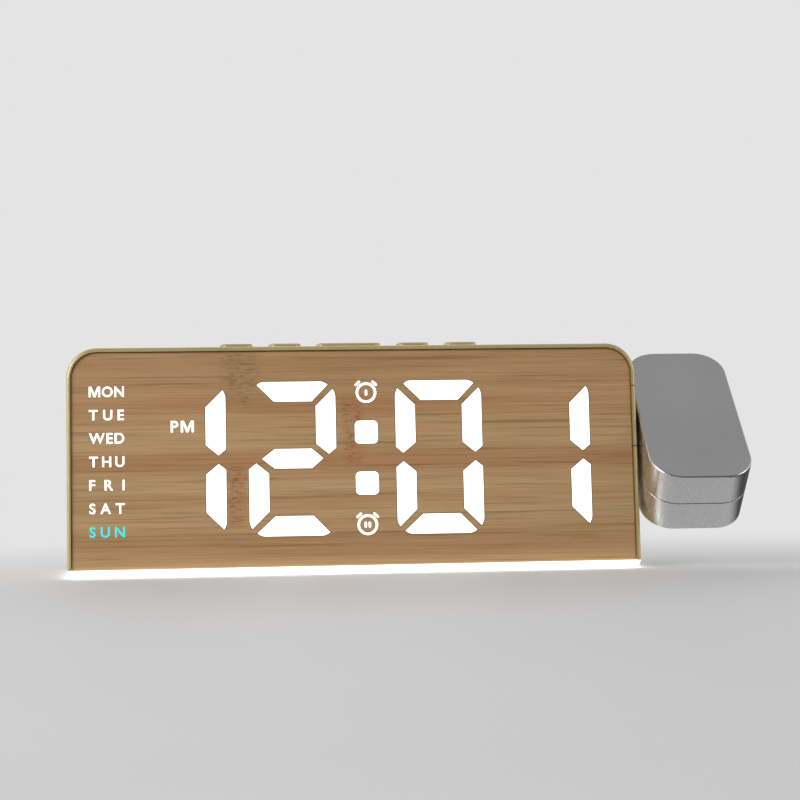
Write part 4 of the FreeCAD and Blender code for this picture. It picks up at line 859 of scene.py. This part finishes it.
def floor():
    """Pale floor that fades into the even surround far off, and darkens in gloss at the right."""
    built = bmesh.new()
    bmesh.ops.create_grid(built, x_segments=1, y_segments=1, size=FLOOR_HALF)
    mesh = bpy.data.meshes.new("floor")
    built.to_mesh(mesh)
    built.free()
    piece = bpy.data.objects.new("floor", mesh)
    bpy.context.scene.collection.objects.link(piece)
    s = Shader("floor_paint").set(roughness=0.6, color=(0.74, 0.74, 0.745), specular=0.3)
    mottle = s.noise(s.coords, 9.0, 3.0)
    s.rough(s.span(mottle, 0.3, 0.7, 0.55, 0.68))
    away = s.add("ShaderNodeVectorMath", operation="DISTANCE")
    s.link(s.coords, away.inputs[0])
    away.inputs[1].default_value = FLOOR_FRONT
    far = s.math("MULTIPLY", s.span(away.outputs["Value"], *HAZE_SPAN), seen_share(s.tree))
    hazed = blended(s.tree, far, s.bsdf.outputs[0], plain_emission(s.tree, HAZE_TONE))
    beside = s.span(s.split(s.coords)[0], *BESIDE_SPAN, 0.0, BESIDE_SHARE)
    glossy = s.add("ShaderNodeLightPath").outputs["Is Glossy Ray"]
    shaded = blended(s.tree, s.math("MULTIPLY", beside, glossy), hazed,
                     plain_emission(s.tree, BESIDE_TONE))
    s.link(shaded, s.tree.nodes["Material Output"].inputs["Surface"])
    mesh.materials.append(s.material)


def surround():
    """Even pale room, darker overhead and, in gloss, behind the viewer; and a soft plain light."""
    world = bpy.data.worlds.new("surround")
    bpy.context.scene.world = world
    world.use_nodes = True
    tree = world.node_tree
    tree.nodes.clear()
    coords = tree.nodes.new("ShaderNodeTexCoord")
    split = tree.nodes.new("ShaderNodeSeparateXYZ")
    tree.links.new(coords.outputs["Generated"], split.inputs[0])
    overhead = tree.nodes.new("ShaderNodeValToRGB")
    elements = overhead.color_ramp.elements
    while len(elements) < len(OVERHEAD_STOPS):
        elements.new(0.5)
    for element, (place, level) in zip(elements, OVERHEAD_STOPS):
        element.position = place
        element.color = (level, level, level * OVERHEAD_BLUE, 1.0)
    tree.links.new(split.outputs[2], overhead.inputs["Fac"])
    front = tree.nodes.new("ShaderNodeMapRange")
    tree.links.new(split.outputs[1], front.inputs["Value"])
    limits = (*FRONT_SPAN, 0.0, FRONT_SHARE)
    for key, value in zip(("From Min", "From Max", "To Min", "To Max"), limits):
        front.inputs[key].default_value = value
    path = tree.nodes.new("ShaderNodeLightPath")
    gloss = combined(tree, "MULTIPLY", front.outputs["Result"], path.outputs["Is Glossy Ray"])
    dim = tree.nodes.new("ShaderNodeMix")
    dim.data_type = "RGBA"
    tree.links.new(gloss, dim.inputs[0])
    tree.links.new(overhead.outputs["Color"], dim.inputs[6])
    dim.inputs[7].default_value = (*FRONT_TONE, 1.0)
    seen = tree.nodes.new("ShaderNodeBackground")
    tree.links.new(dim.outputs[2], seen.inputs["Color"])
    lit = tree.nodes.new("ShaderNodeBackground")
    lit.inputs["Color"].default_value = (1.0, 1.0, 1.0, 1.0)
    lit.inputs["Strength"].default_value = PLAIN_LIGHT
    out = tree.nodes.new("ShaderNodeOutputWorld")
    mixed = blended(tree, seen_share(tree), lit.outputs[0], seen.outputs[0])
    tree.links.new(mixed, out.inputs["Surface"])


def lamp(name, place, aim, size, watts):
    """A rectangular area lamp turned to its aim."""
    data = bpy.data.lights.new(name, "AREA")
    data.shape = "RECTANGLE"
    data.size, data.size_y = size
    data.energy = watts
    piece = bpy.data.objects.new(name, data)
    bpy.context.scene.collection.objects.link(piece)
    direction = Vector(aim) - Vector(place)
    turn = direction.to_track_quat("-Z", "Y").to_matrix().to_4x4()
    piece.matrix_world = Matrix.Translation(place) @ turn


def camera():
    data = bpy.data.cameras.new("camera")
    data.sensor_width = SENSOR_MM
    data.lens = SENSOR_MM * CAMERA_FOCAL_PX / PHOTO_SIDE_PX
    data.clip_start = 0.01
    piece = bpy.data.objects.new("camera", data)
    bpy.context.scene.collection.objects.link(piece)
    turn = Matrix.Rotation(CAMERA_YAW, 4, "Z") @ Matrix.Rotation(CAMERA_PITCH, 4, "X")
    turn = turn @ Matrix.Rotation(CAMERA_ROLL, 4, "Y") @ Matrix.Rotation(math.pi / 2, 4, "X")
    piece.matrix_world = Matrix.Translation(CAMERA_PLACE) @ turn
    bpy.context.scene.camera = piece


def main():
    bpy.context.scene.view_settings.view_transform = "Standard"
    bamboo, lit = finishes()
    shown_time(bamboo, lit)
    lit_signs()
    # Dark plastic that paints the shade in the shut lines and in the screws' drives
    shadow = moulded("shut_line_shade", (0.045, 0.040, 0.032), 0.6, 0.7)
    hinge_parting_shade(shadow)
    arm_seam_shade(shadow)
    cross_drive_shade(shadow)
    floor()
    surround()
    for values in LAMPS:
        lamp(*values)
    camera()


main()
